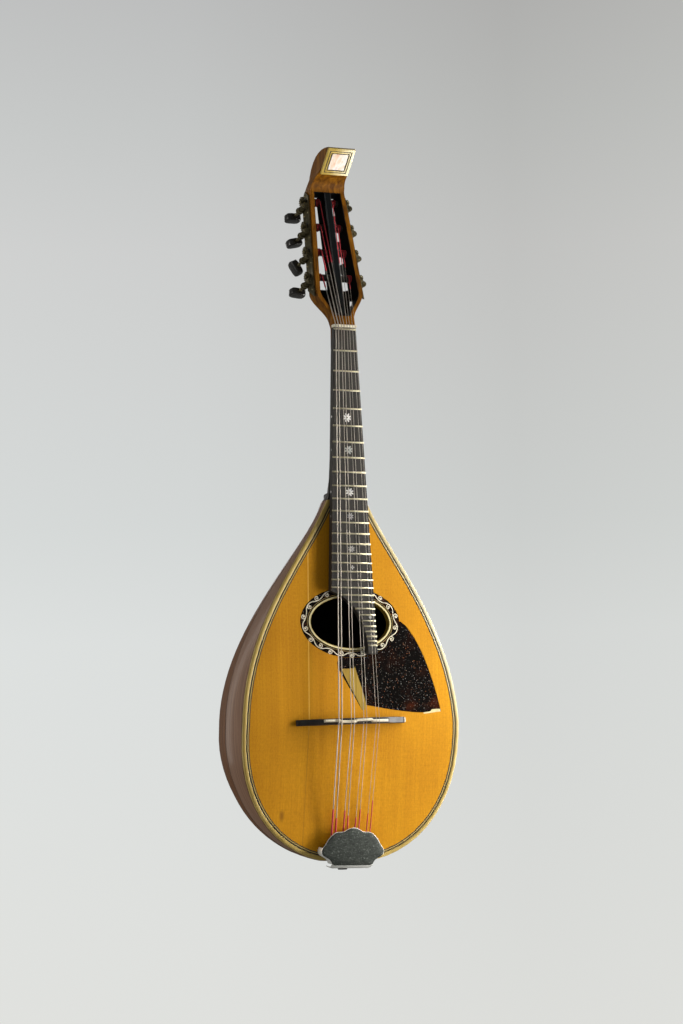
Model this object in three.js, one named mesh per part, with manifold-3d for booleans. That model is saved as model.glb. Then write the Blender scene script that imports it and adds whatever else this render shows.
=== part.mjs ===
// Bowl back mandolin with a slotted head, worm-and-gear tuners and a canted soundboard.
// Millimetres. +X to the treble side, +Y to the back, +Z up towards the head.
// The origin is on the front of the neck at the zero fret, where a hook holds the hanging instrument.
import * as THREE from 'three';
import { mergeVertices } from 'three/addons/utils/BufferGeometryUtils.js';
import Module from 'manifold-3d';

const wasm = await Module();
wasm.setup();

// Clearances and overruns
const CLEAR = 0.3;
const OVERRUN = 6;
const WELD = 0.1;

// Strings and scale
const SCALE_LENGTH = 330;
const FRET_COUNT = 29;
const JOINT_FRET = 10;
const SADDLE_SETBACK = 2;
const COURSE_COUNT = 4;
const NUT_COURSE_PITCH = 5.2;
const NUT_PAIR_GAP = 2.4;
const SADDLE_COURSE_PITCH = 11.5;
const SADDLE_PAIR_GAP = 2.8;
const TAIL_COURSE_PITCH = 10.4;
const TAIL_PAIR_GAP = 3.6;
const STRING_RADII = { g: 0.45, d: 0.3, a: 0.2, e: 0.16 };
const STRING_SIDES = 8;

// Body outline and bowl
const BRIDGE_TO_TAIL = 114;
const BRIDGE_TO_WIDEST = 9;
const BODY_HALF_WIDTH = 99.4;
const JOINT_HALF_WIDTH = 17.6;
const BOWL_DEPTH = 150;
const HEEL_DEPTH = 35;
const CANT = THREE.MathUtils.degToRad(8.9);
const RIB_COUNT = 9;
const RIB_WALL = 2;
const RIB_FACETS = 3;
const UPPER_STATIONS = 9;
const LOWER_STATIONS = 7;
const TAIL_BLOCK_FACE = 8;
const RIM_CURVE_SHARES = { neckAlong: 0.235, neckOut: 0.207, waistAlong: 0.456 };
const DEPTH_CURVE_SHARES = { neckAlong: 0.175, neckOut: 0.008, waistAlong: 0.43 };
const TAIL_REACH_SHARE = 1.022;
const ROUNDNESS_SHARES = { rim: 2.2, bowl: 1.6, rod: 2 };

// Soundboard
const TOP_THICKNESS = 3;
const BINDING_WIDTH = 3.5;
const OUTLINE_STEPS = 14;
const HOLE_TO_BRIDGE = 83.5;
const HOLE_HALF_WIDTH = 36.5;
const HOLE_HALF_HEIGHT = 21.8;
const ROSETTE_WIDTH = 9.3;
const ROSETTE_HEIGHT = 7.9;
const INLAY_THICKNESS = 1.2;
const BRACE_WIDTH = 8;
const BRACE_HEIGHT = 13;
const BRACE_TIP = 5;
const ROSETTE_TO_BRACE = 7.5;

// Pickguard corners, from the middle of the sound hole: to the treble side, and down
const GUARD_TOP = [46.8, -1.5];
const GUARD_BELLY = [68, 14.5];
const GUARD_TIP = [82.2, 73.5];
const GUARD_FOOT = [62, 77.5];
const GUARD_HEEL = [13.5, 69];
const GUARD_POINT = [9.3, 73.3];
const GUARD_CAP_LOW = [-12, 38];
const GUARD_CAP_HIGH = [-12.5, 34];

// Neck and fingerboard
const NUT_WIDTH = 20.8;
const BOARD_START_WIDTH = 20.4;
const BOARD_LAST_FRET_WIDTH = 42.4;
const BOARD_START_HEIGHT = 4.75;
const BOARD_LAST_FRET_HEIGHT = 6.85;
const BOARD_TAIL = 6.8;
const BOARD_HEAD = 1.2;
const EXTENSION_START_TO_HOLE = 25.5;
const EXTENSION_ELBOW_TO_HOLE = 16.5;
const EXTENSION_ELBOW_X = 11;
const EXTENSION_END_X = 13.5;
const FRET_WIDTH = 1.2;
const FRET_HEIGHT = 0.9;
const FRET_CROWN_SHARE = 0.5;
const NUT_THICKNESS = 2.2;
const NUT_HEIGHT = 6.4;
const NUT_GROOVE = 0.6;
const NECK_DEPTH_NUT = 15.5;
const NECK_DEPTH_MIDDLE = 18.5;
const NECK_FACETS = 12;

// The neck's sections, from under the nut to the body joint
const NECK_STATION_SHARES = [
  { along: -0.2, depth: 0.97, roundness: 1.45 },
  { along: -0.0275, depth: 0.98, roundness: 1.45 },
  { along: 0, depth: 1, roundness: 1.4 },
  { along: 0.12, depth: 1.03, roundness: 1.35 },
  { along: 0.5, depth: 1, roundness: 1.3 },
  { along: 0.76, depth: 1.08, roundness: 1.3 },
  { along: 0.88, depth: 0.63, roundness: 1.35 },
  { along: 0.96, depth: 0.8, roundness: 1.5 },
  { along: 1, depth: 1, roundness: 2 },
];

// Head, measured in its own tilted frame: across x, depth n from its face, height u from the nut
const HEAD_TILT = THREE.MathUtils.degToRad(12.6);
const HEAD_FOOT_DEPTH = 3.3;
const HEAD_FOOT_HEIGHT = 3;
const HEAD_THICKNESS = 15;
const HEAD_FOOT_THICKNESS = 6;
const HEAD_NUT_HALF = 10.3;
const HEAD_SHOULDER_HALF = 21.6;
const HEAD_TOP_HALF = 15.9;
const SHOULDER_START = 6;
const SHOULDER_END = 32;
const BACK_TAPER_END = 33;
const HEAD_STRAIGHT_END = 127.5;
const FINIAL_START = 137;
const FINIAL_HALF = 12.7;
const HEAD_HEEL = 10;
const RAIL = 3.8;
const SPINE = 5.5;
const SLOT_LOW = 9.5;
const SLOT_LOW_BACK = 27;
const SLOT_HIGH = 123.5;
const PLAQUE_LENGTH = 26.2;
const PLAQUE_WIDTH = 25.4;
const PLAQUE_THICKNESS = 2;
const PLAQUE_LOW = [-17.1, 131.9];
const PLAQUE_HIGH = [-39.2, 146];
const PLAQUE_FRAME = 5;
const FINIAL_CROWN = [-16, 157];
const FINIAL_NAPE = [8, 151];
const FINIAL_BACK = [15, 112];
const FINIAL_THROAT = [-2.5, 131.5];

// Tuners
const TUNER_FIRST = 47.2;
const TUNER_PITCH = 23.3;
const TUNERS_A_SIDE = 4;
const ROLLER_DEPTH = 8.3;
const ROLLER_RADIUS = 3;
const ROLLER_SIDES = 10;
const ROLLER_PIN_RADIUS = 1.6;
const ROLLER_PIN = 2.2;
const PLATE_THICKNESS = 1.1;
const PLATE_LOW = 26.5;
const PLATE_LOW_BACK = 36.6;
const PLATE_HIGH = 126.5;
const PLATE_FRONT = 1.8;
const PLATE_BACK = 14.4;
const PLATE_POINT = 6;
const GEAR_TEETH = 12;
const GEAR_MODULE = 0.65;
const GEAR_STANDOFF = 3;
const GEAR_WIDTH = 2;
const GEAR_TIP = 0.5;
const GEAR_ROOT = 0.8;
const TOOTH_TIP_HALF = 0.2;
const HUB_RADIUS = 2.2;
const GEAR_CAP_RADIUS = 1.6;
const GEAR_CAP = 0.9;
const WORM_MEAN_RADIUS = 1.55;
const WORM_THREAD = 0.65;
const WORM_PITCH_RADIUS = 1.7;
const WORM_TURNS = 3;
const WORM_STEPS = 4;
const WORM_SIDES = 8;
const SHAFT_RADIUS = 0.85;
const LUG_RADIUS = 2.6;
const FRONT_LUG = 1.8;
const REAR_LUG = 2.4;
const LUG_GAP = 0.4;
const COLLAR_RADIUS = 3.2;
const COLLAR = 1.5;
const KNOB_CENTRE = 30.5;
const KNOB_LENGTH = 10;
const KNOB_WIDTH = 14;
const KNOB_THICKNESS = 6.5;
const KNOB_CORNER = 3;
const KNOB_EDGE = 1;
const KNOB_BORE_DEPTH = 5;
const KNOB_TURNS = [6, 62, -12, 0].map(THREE.MathUtils.degToRad);

// String windings on the rollers
const WINDING_RADIUS = 0.45;
const WINDING_SINK = 0.25;
const WINDING_PITCH = 1.4;
const WINDING_TURNS = 2.5;
const WINDING_STEPS = 10;
const WINDING_SIDES = 5;
const WINDING_FIRST_X = 12.5;
const WINDING_STEP_X = 2.2;

// Bridge
const BRIDGE_LENGTH = 103;
const BRIDGE_WIDTH = 6.4;
const BRIDGE_HEIGHT = 8.4;
const BRIDGE_END_HEIGHT = 3.2;
const BRIDGE_FOOT_ARCH = 1.8;
const BRIDGE_FLAT = 62;
const SADDLE_LENGTH = 60;
const SADDLE_TOP = 12.4;
const SADDLE_WIDTH = 2.2;
const SADDLE_STEP = 1.1;

// Tailpiece and end pin
const TAIL_PLATE_WIDTH = 37;
const TAIL_PLATE_LENGTH = 17;
const TAIL_PLATE_THICKNESS = 1;
const TANG_WIDTH = 20;
const TANG_LENGTH = 16;
const HOOK_WIDTH = 1.2;
const HOOK_HEIGHT = 3.4;
const HOOK_INSET = 2.5;
const COVER_HALF_WIDTH = 30;
const COVER_HIGH = 30;
const COVER_LOW = -3.6;
const COVER_HEIGHT = 6.4;
const COVER_SHEET = 0.8;
const COVER_LIP_HALF = 18;
const COVER_LIP_DEPTH = 4.6;
const COVER_SKIRT_HIGH = 9;
const PIN_DEPTH = 10;
const PIN_RADIUS = 3;
const PIN_HEAD_RADIUS = 4.6;
const PIN_HEAD = 7.5;
const PIN_SHANK = 10;
const PIN_SIDES = 12;
const PIN_PROFILE_SHARES = { waistRadius: 0.72, waist: 0.45, shoulder: 0.75, endRadius: 0.8 };

// The right half of the cover's cloud outline: the bend and the end of each lobe across and up
const COVER_LOBE_SHARES = [
  { bend: [0.3, 1.02], end: [0.42, 0.88] },
  { bend: [0.72, 0.94], end: [0.83, 0.64] },
  { bend: [1.05, 0.5], end: [1, 0.33] },
  { bend: [0.98, 0.16], end: [0.72, 0.08] },
];
const COVER_WAIST_SHARE = [0.62, 0.04];

// Finishes
const finishes = {
  spruce: { color: 0xd69a2c, roughness: 0.35, metalness: 0 },
  rosewood: { color: 0x4b3223, roughness: 0.25, metalness: 0 },
  headWood: { color: 0x965f1e, roughness: 0.35, metalness: 0 },
  ivoroid: { color: 0xe6d9a8, roughness: 0.4, metalness: 0 },
  ebony: { color: 0x2c2826, roughness: 0.4, metalness: 0 },
  tortoise: { color: 0x1c1614, roughness: 0.25, metalness: 0 },
  pearl: { color: 0xe8dcd8, roughness: 0.2, metalness: 0 },
  bone: { color: 0xe4dcc4, roughness: 0.45, metalness: 0 },
  steel: { color: 0xb8b2a8, roughness: 0.3, metalness: 0.9 },
  brass: { color: 0x6c6244, roughness: 0.4, metalness: 0.8 },
  nickel: { color: 0x8c8c88, roughness: 0.2, metalness: 1 },
  silk: { color: 0xb4232c, roughness: 0.7, metalness: 0 },
  innerSpruce: { color: 0xc8a878, roughness: 0.8, metalness: 0 },
};

// Solids from closed geometries, and geometries from solids
function solidOf(geometry) {
  const bare = geometry.clone();
  bare.deleteAttribute('normal');
  bare.deleteAttribute('uv');
  const merged = mergeVertices(bare);
  const vertProperties = new Float32Array(merged.attributes.position.array);
  const triVerts = new Uint32Array(merged.index.array);
  return new wasm.Manifold(new wasm.Mesh({ numProp: 3, vertProperties, triVerts }));
}

function geometryOf(solid) {
  const mesh = solid.getMesh();
  const geometry = new THREE.BufferGeometry();
  geometry.setAttribute('position', new THREE.BufferAttribute(new Float32Array(mesh.vertProperties), 3));
  geometry.setIndex(new THREE.BufferAttribute(new Uint32Array(mesh.triVerts), 1));
  geometry.computeVertexNormals();
  return geometry;
}

function union(geometries) {
  const solids = geometries.map(solidOf);
  return solids.reduce((whole, solid) => whole.add(solid));
}

function piece(parent, name, shape, finish) {
  const geometry = shape.isBufferGeometry ? shape : geometryOf(shape);
  const mesh = new THREE.Mesh(geometry, new THREE.MeshStandardMaterial(finish));
  mesh.name = name;
  parent.add(mesh);
  return mesh;
}

// Prisms: a shape in (y, z) pushed along x, one in (x, z) pushed along y, and one in (x, y) pushed along z
const axisX = new THREE.Vector3(1, 0, 0);
const axisY = new THREE.Vector3(0, 1, 0);
const axisZ = new THREE.Vector3(0, 0, 1);

function prism(shape, length, curveSegments) {
  return new THREE.ExtrudeGeometry(shape, { depth: length, bevelEnabled: false, curveSegments });
}

function prismAlongX(shape, left, right, curveSegments = 8) {
  const geometry = prism(shape, right - left, curveSegments);
  geometry.applyMatrix4(new THREE.Matrix4().makeBasis(axisY, axisZ, axisX));
  return geometry.translate(left, 0, 0);
}

function prismAlongY(shape, front, back, curveSegments = 8) {
  const geometry = prism(shape, back - front, curveSegments);
  geometry.applyMatrix4(new THREE.Matrix4().makeBasis(axisX, axisZ, axisY.clone().negate()));
  return geometry.translate(0, back, 0);
}

function prismAlongZ(shape, low, high, curveSegments = 8) {
  return prism(shape, high - low, curveSegments).translate(0, 0, low);
}

function polygon(points) {
  return new THREE.Shape(points.map(([a, b]) => new THREE.Vector2(a, b)));
}

function rectangle(left, right, low, high) {
  return polygon([[left, low], [right, low], [right, high], [left, high]]);
}

function rodAlongX(radius, left, right, sides) {
  const geometry = new THREE.CylinderGeometry(radius, radius, right - left, sides);
  return geometry.rotateZ(Math.PI / 2).translate((left + right) / 2, 0, 0);
}

function rodAlongY(radius, front, back, sides) {
  const geometry = new THREE.CylinderGeometry(radius, radius, back - front, sides);
  return geometry.translate(0, (front + back) / 2, 0);
}

// A closed skin through rings of equal count, capped flat at both ends, with its faces pointing out
function loft(rings, capFace) {
  const count = rings[0].length;
  const positions = rings.flatMap((ring) => ring.flatMap((point) => point.toArray()));
  const indices = [];
  for (let ring = 0; ring + 1 < rings.length; ring += 1) {
    for (let k = 0; k < count; k += 1) {
      const next = (k + 1) % count;
      const a = ring * count + k;
      const b = ring * count + next;
      indices.push(a, b, b + count, a, b + count, a + count);
    }
  }
  const cap = (ring) => {
    const face = ring.map(capFace);
    const triangles = THREE.ShapeUtils.triangulateShape(face, []);
    return THREE.ShapeUtils.isClockWise(face) ? triangles.map(([a, b, c]) => [a, c, b]) : triangles;
  };
  const last = (rings.length - 1) * count;
  cap(rings[0]).forEach(([a, b, c]) => indices.push(a, c, b));
  cap(rings[rings.length - 1]).forEach(([a, b, c]) => indices.push(last + a, last + b, last + c));
  const geometry = new THREE.BufferGeometry();
  geometry.setAttribute('position', new THREE.Float32BufferAttribute(positions, 3));
  geometry.setIndex(signedVolume(positions, indices) < 0 ? indices.reverse() : indices);
  geometry.computeVertexNormals();
  return geometry;
}

function signedVolume(positions, indices) {
  const corner = (i) => new THREE.Vector3().fromArray(positions, i * 3);
  let volume = 0;
  for (let i = 0; i < indices.length; i += 3) {
    volume += corner(indices[i]).dot(corner(indices[i + 1]).cross(corner(indices[i + 2])));
  }
  return volume;
}

const faceXY = (point) => new THREE.Vector2(point.x, point.y);

// The height of a curve whose first coordinate only grows
function curveAt(curve, across) {
  let low = 0;
  let high = 1;
  const point = new THREE.Vector2();
  for (let step = 0; step < 30; step += 1) {
    const middle = (low + high) / 2;
    curve.getPoint(middle, point);
    if (point.x < across) low = middle;
    else high = middle;
  }
  return point.y;
}

const point2 = (x, y) => new THREE.Vector2(x, y);
const fretDrop = (fret) => SCALE_LENGTH * (1 - 2 ** (-fret / 12));

// The body: half width, bowl depth and rim plane at each drop below the zero fret
const jointDrop = fretDrop(JOINT_FRET);
const bridgeDrop = SCALE_LENGTH + SADDLE_SETBACK;
const widestDrop = bridgeDrop + BRIDGE_TO_WIDEST;
const bottomDrop = bridgeDrop + BRIDGE_TO_TAIL;
const holeDrop = bridgeDrop - HOLE_TO_BRIDGE;
const upperLength = widestDrop - jointDrop;
const tailReach = (bottomDrop - widestDrop) * TAIL_REACH_SHARE;

function upperCurve(start, full, shares) {
  return new THREE.CubicBezierCurve(
    point2(jointDrop, start),
    point2(jointDrop + shares.neckAlong * upperLength, start + shares.neckOut * full),
    point2(widestDrop - shares.waistAlong * upperLength, full),
    point2(widestDrop, full),
  );
}

const rimCurve = upperCurve(JOINT_HALF_WIDTH, BODY_HALF_WIDTH, RIM_CURVE_SHARES);
const depthCurve = upperCurve(HEEL_DEPTH, BOWL_DEPTH, DEPTH_CURVE_SHARES);

function bodyMeasure(curve, full, power, drop) {
  if (drop <= widestDrop) return curveAt(curve, drop);
  const share = (drop - widestDrop) / tailReach;
  return full * (1 - share ** power) ** (1 / power);
}

const halfWidthAt = (drop) => bodyMeasure(rimCurve, BODY_HALF_WIDTH, ROUNDNESS_SHARES.rim, drop);
const depthAt = (drop) => bodyMeasure(depthCurve, BOWL_DEPTH, ROUNDNESS_SHARES.bowl, drop);
const rimBack = (drop) => Math.max(0, drop - bridgeDrop) * Math.tan(CANT);

// Drops of the bowl's stations, closer together where the tail turns under
const ribEndDrop = bottomDrop - TAIL_BLOCK_FACE;
const ribDrops = [];
for (let i = 0; i < UPPER_STATIONS; i += 1) {
  ribDrops.push(jointDrop + CLEAR + (upperLength - CLEAR) * i / UPPER_STATIONS);
}
for (let i = 0; i <= LOWER_STATIONS; i += 1) {
  ribDrops.push(widestDrop + (ribEndDrop - widestDrop) * Math.sin(Math.PI / 2 * i / LOWER_STATIONS));
}
ribDrops.push(bridgeDrop);
ribDrops.sort((a, b) => a - b);

// A point of the bowl's section: angle 0 at the bass rim, PI at the treble rim
function bowlPoint(drop, inset, angle) {
  const x = -(halfWidthAt(drop) - inset) * Math.cos(angle);
  const y = rimBack(drop) + (depthAt(drop) - inset) * Math.sin(angle);
  return new THREE.Vector3(x, y, -drop);
}

// The angle where the section meets a level behind the soundboard's face
const rimAngle = (drop, inset, level) => Math.asin(level / (depthAt(drop) - inset));

const ribLevel = TOP_THICKNESS + CLEAR;

function ribEdge(edge, drop, inset) {
  if (edge === 0) return rimAngle(drop, inset, ribLevel);
  if (edge === RIB_COUNT) return Math.PI - rimAngle(drop, inset, ribLevel);
  return Math.PI * edge / RIB_COUNT;
}

// Half of the seam's gap as an angle
function seamAngle(edge, drop) {
  if (edge === 0 || edge === RIB_COUNT) return 0;
  const angle = Math.PI * edge / RIB_COUNT;
  const speed = Math.hypot(halfWidthAt(drop) * Math.sin(angle), depthAt(drop) * Math.cos(angle));
  return CLEAR / 2 / (speed - RIB_WALL);
}

function ribGeometry(index) {
  const rings = ribDrops.map((drop) => {
    const side = (inset, k) => {
      const from = ribEdge(index, drop, inset) + seamAngle(index, drop);
      const to = ribEdge(index + 1, drop, inset) - seamAngle(index + 1, drop);
      return bowlPoint(drop, inset, from + (to - from) * k / RIB_FACETS);
    };
    const steps = Array.from({ length: RIB_FACETS + 1 }, (_, k) => k);
    const outer = steps.map((k) => side(0, k));
    const inner = steps.map((k) => side(RIB_WALL, k)).reverse();
    return [...outer, ...inner];
  });
  return loft(rings, faceXY);
}

// A half-round section of the bowl, closed by a flat at a level behind the soundboard's face
function bowlRing(drop, inset, level, facets, z = -drop) {
  const low = rimAngle(drop, inset, level);
  const ring = [];
  for (let k = 0; k <= facets; k += 1) {
    const point = bowlPoint(drop, inset, low + (Math.PI - low * 2) * k / facets);
    ring.push(new THREE.Vector3(point.x, point.y, z));
  }
  return ring;
}

// The outline of the soundboard, drawn inwards by an inset, with an open neck end
function outlinePoints(inset, topDrop) {
  const half = [];
  for (let i = 0; i <= OUTLINE_STEPS; i += 1) {
    const drop = topDrop + (widestDrop - topDrop) * i / OUTLINE_STEPS;
    half.push([halfWidthAt(Math.max(drop, jointDrop)), drop]);
  }
  for (let i = 1; i <= OUTLINE_STEPS; i += 1) {
    const turn = Math.PI / 2 * i / OUTLINE_STEPS;
    const power = ROUNDNESS_SHARES.rod / ROUNDNESS_SHARES.rim;
    const share = Math.sin(turn) ** power;
    const width = BODY_HALF_WIDTH * Math.abs(Math.cos(turn)) ** power;
    const drop = widestDrop + tailReach * share;
    if (drop < bottomDrop) half.push([width, drop]);
  }
  half.push([halfWidthAt(bottomDrop), bottomDrop]);
  return insetHalf(half, inset);
}

// Moves each point of the half outline inwards along its normal and mirrors the rest
function insetHalf(half, inset) {
  const moved = half.map(([x, drop], i) => {
    if (i === half.length - 1) return [x - inset * Math.SQRT1_2, drop - inset];
    const before = half[Math.max(i - 1, 0)];
    const after = half[i + 1];
    const along = point2(after[0] - before[0], after[1] - before[1]).normalize();
    return [x - inset * along.y, drop + inset * along.x];
  });
  const right = moved.map(([x, drop]) => [x, -drop]);
  const left = [...right].reverse().map(([x, z]) => [-x, z]);
  return [...right, ...left];
}

// A slab that follows the soundboard's face and its cant below the bridge
function bentSlab(front, back) {
  const top = -jointDrop + OVERRUN;
  const low = -(bottomDrop + OVERRUN);
  const lowBack = rimBack(-low);
  const side = polygon([
    [front, top], [front, -bridgeDrop], [lowBack + front, low],
    [lowBack + back, low], [back, -bridgeDrop], [back, top],
  ]);
  const reach = BODY_HALF_WIDTH + OVERRUN;
  return solidOf(prismAlongX(side, -reach, reach));
}

function ovalShape(halfWidth, halfHeight) {
  const shape = new THREE.Shape();
  shape.absellipse(0, -holeDrop, halfWidth, halfHeight, 0, Math.PI * 2);
  return shape;
}

const OVAL_SEGMENTS = 18;
const oval = (grow, front, back) => solidOf(
  prismAlongY(ovalShape(HOLE_HALF_WIDTH + grow * ROSETTE_WIDTH, HOLE_HALF_HEIGHT + grow * ROSETTE_HEIGHT),
    front, back, OVAL_SEGMENTS));

// The pickguard's outline, grown by a clearance for the pocket that it lies in
function guardShape(grow) {
  const at = ([x, fall], right, down) => [x + right * grow, -(holeDrop + fall + down * grow)];
  const shape = new THREE.Shape();
  shape.moveTo(...at(GUARD_TOP, 1, -1));
  shape.quadraticCurveTo(...at(GUARD_BELLY, 1, -1), ...at(GUARD_TIP, 1, 1));
  shape.quadraticCurveTo(...at(GUARD_FOOT, 0, 1), ...at(GUARD_HEEL, 0, 1));
  shape.lineTo(...at(GUARD_POINT, -1, 1));
  shape.lineTo(...at(GUARD_CAP_LOW, -1, 1));
  shape.lineTo(...at(GUARD_CAP_HIGH, -1, -1));
  shape.lineTo(0, -holeDrop);
  return shape;
}

const GUARD_SEGMENTS = 10;
const guardPrism = (grow, front, back) => solidOf(prismAlongY(guardShape(grow), front, back, GUARD_SEGMENTS));

const mandolin = new THREE.Group();
const body = new THREE.Group();
mandolin.add(body);

function addRibs() {
  for (let index = 0; index < RIB_COUNT; index += 1) {
    piece(body, `rib_${index + 1}`, ribGeometry(index), finishes.rosewood);
  }
}

function addSoundboard() {
  const openDrop = jointDrop - OVERRUN * 2;
  const full = polygon(outlinePoints(0, jointDrop + CLEAR));
  const field = polygon(outlinePoints(BINDING_WIDTH + CLEAR, openDrop));
  const core = polygon(outlinePoints(BINDING_WIDTH, openDrop));
  const front = -OVERRUN;
  const back = rimBack(bottomDrop) + TOP_THICKNESS + OVERRUN;
  const fullPrism = solidOf(prismAlongY(full, front, back));
  const slab = bentSlab(0, TOP_THICKNESS);
  const strip = fullPrism.intersect(slab).subtract(solidOf(prismAlongY(core, front, back)));
  piece(body, 'binding', strip, finishes.ivoroid);

  const pocket = INLAY_THICKNESS + CLEAR;
  const rosettePocket = oval(1, -OVERRUN, pocket).add(oval(0, -OVERRUN, TOP_THICKNESS + OVERRUN));
  const plate = fullPrism.intersect(solidOf(prismAlongY(field, front, back)));
  const board = plate.intersect(slab).subtract(rosettePocket).subtract(guardPrism(CLEAR, -OVERRUN, pocket));
  piece(body, 'soundboard', board, finishes.spruce);

  const inset = CLEAR / ROSETTE_WIDTH;
  const ring = oval(1 - inset, 0, INLAY_THICKNESS).subtract(oval(0, -OVERRUN, TOP_THICKNESS));
  piece(body, 'rosette', ring, finishes.tortoise);
  const guard = guardPrism(0, 0, INLAY_THICKNESS).subtract(oval(1, -OVERRUN, TOP_THICKNESS));
  piece(body, 'pickguard', guard, finishes.tortoise);
}

// A transverse bar under the soundboard with thinned ends, as wide as the bowl allows
function addBrace(name, drop) {
  const level = TOP_THICKNESS + CLEAR;
  const reachAngle = rimAngle(drop, RIB_WALL + CLEAR, level + BRACE_TIP);
  const half = (halfWidthAt(drop) - RIB_WALL - CLEAR * 2) * Math.cos(reachAngle) - BRACE_TIP / 2;
  const shape = new THREE.Shape();
  shape.moveTo(-half, -level);
  shape.lineTo(half, -level);
  shape.lineTo(half, -(level + BRACE_TIP));
  shape.quadraticCurveTo(half / 2, -(level + BRACE_HEIGHT), 0, -(level + BRACE_HEIGHT));
  shape.quadraticCurveTo(-half / 2, -(level + BRACE_HEIGHT), -half, -(level + BRACE_TIP));
  const bar = prismAlongZ(shape, -BRACE_WIDTH / 2, BRACE_WIDTH / 2, 6);
  const mesh = piece(body, name, bar, finishes.innerSpruce);
  mesh.rotation.z = Math.PI;
  mesh.position.z = -drop;
}

const pinBack = rimBack(bottomDrop) + PIN_DEPTH;

// The block that closes the tail: its inner part fits inside the ribs and its face covers their ends
function addTailBlock() {
  const facets = NECK_FACETS;
  const inner = RIB_WALL + CLEAR;
  const innerLevel = TOP_THICKNESS + CLEAR;
  const [start, end] = ribDrops.slice(-2);
  const seat = end + CLEAR;
  const rings = [start, end].map((drop) => bowlRing(drop, inner, innerLevel, facets));
  rings.push(bowlRing(end, inner, innerLevel, facets, -seat));
  const faceSteps = 4;
  for (let i = 0; i <= faceSteps; i += 1) {
    const drop = seat + (bottomDrop - seat) * Math.sin(Math.PI / 2 * i / faceSteps);
    rings.push(bowlRing(drop, 0, innerLevel, facets));
  }
  const bore = solidOf(rodAlongY(PIN_RADIUS + CLEAR, 0, PIN_SHANK + CLEAR + OVERRUN, PIN_SIDES)
    .rotateX(Math.PI / 2).translate(0, pinBack, -(bottomDrop + OVERRUN)));
  piece(body, 'tail_block', solidOf(loft(rings, faceXY)).subtract(bore), finishes.rosewood);
}

function addEndPin() {
  const profile = [
    [0, -PIN_SHANK], [PIN_RADIUS, -PIN_SHANK], [PIN_RADIUS, TAIL_PLATE_THICKNESS + CLEAR * 2],
    [PIN_HEAD_RADIUS, TAIL_PLATE_THICKNESS + CLEAR * 2],
    [PIN_HEAD_RADIUS * PIN_PROFILE_SHARES.waistRadius, PIN_HEAD * PIN_PROFILE_SHARES.waist],
    [PIN_HEAD_RADIUS, PIN_HEAD * PIN_PROFILE_SHARES.shoulder],
    [PIN_HEAD_RADIUS * PIN_PROFILE_SHARES.endRadius, PIN_HEAD], [0, PIN_HEAD],
  ].map(([r, z]) => point2(r, z));
  const pin = piece(body, 'end_pin', new THREE.LatheGeometry(profile, PIN_SIDES), finishes.bone);
  pin.rotation.x = -Math.PI / 2;
  pin.position.set(0, pinBack, -bottomDrop);
}

// Fingerboard: a wedge whose bass side is cut away in a curve over the sound hole
const lastFretDrop = fretDrop(FRET_COUNT);
const boardEndDrop = lastFretDrop + BOARD_TAIL;
const boardHalf = (drop) => (BOARD_START_WIDTH
  + (BOARD_LAST_FRET_WIDTH - BOARD_START_WIDTH) * drop / lastFretDrop) / 2;
const boardHeight = (drop) => BOARD_START_HEIGHT
  + (BOARD_LAST_FRET_HEIGHT - BOARD_START_HEIGHT) * drop / lastFretDrop;
const extensionStart = holeDrop - EXTENSION_START_TO_HOLE;
const extensionElbow = holeDrop - EXTENSION_ELBOW_TO_HOLE;
const extensionCurve = new THREE.QuadraticBezierCurve(
  point2(extensionStart, -boardHalf(extensionStart)),
  point2(extensionElbow, EXTENSION_ELBOW_X),
  point2(boardEndDrop, EXTENSION_END_X),
);
const boardLeft = (drop) => (drop > extensionStart ? curveAt(extensionCurve, drop) : -boardHalf(drop));

function fretGeometry(drop) {
  const height = boardHeight(drop);
  const crown = FRET_WIDTH * FRET_CROWN_SHARE / 2;
  const side = polygon([
    [-height + WELD, -drop - FRET_WIDTH / 2], [-height + WELD, -drop + FRET_WIDTH / 2],
    [-height - FRET_HEIGHT, -drop + crown], [-height - FRET_HEIGHT, -drop - crown],
  ]);
  return prismAlongX(side, boardLeft(drop) + WELD, boardHalf(drop) - WELD);
}

function addFingerboard() {
  const shape = new THREE.Shape();
  shape.moveTo(-boardHalf(0), BOARD_HEAD);
  shape.lineTo(boardHalf(0), BOARD_HEAD);
  shape.lineTo(boardHalf(boardEndDrop), -boardEndDrop);
  shape.lineTo(EXTENSION_END_X, -boardEndDrop);
  shape.quadraticCurveTo(EXTENSION_ELBOW_X, -extensionElbow, -boardHalf(extensionStart), -extensionStart);
  const low = boardEndDrop + OVERRUN;
  const wedge = polygon([
    [-CLEAR, OVERRUN], [-boardHeight(-OVERRUN), OVERRUN], [-boardHeight(low), -low], [-CLEAR, -low],
  ]);
  const reach = BOARD_LAST_FRET_WIDTH;
  const blank = solidOf(prismAlongY(shape, -reach, 0, 10)).intersect(solidOf(prismAlongX(wedge, -reach, reach)));
  const frets = Array.from({ length: FRET_COUNT + 1 }, (_, fret) => fretGeometry(fretDrop(fret)));
  piece(body, 'fingerboard', frets.map(solidOf).reduce((whole, fret) => whole.add(fret), blank), finishes.ebony);
}

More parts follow.
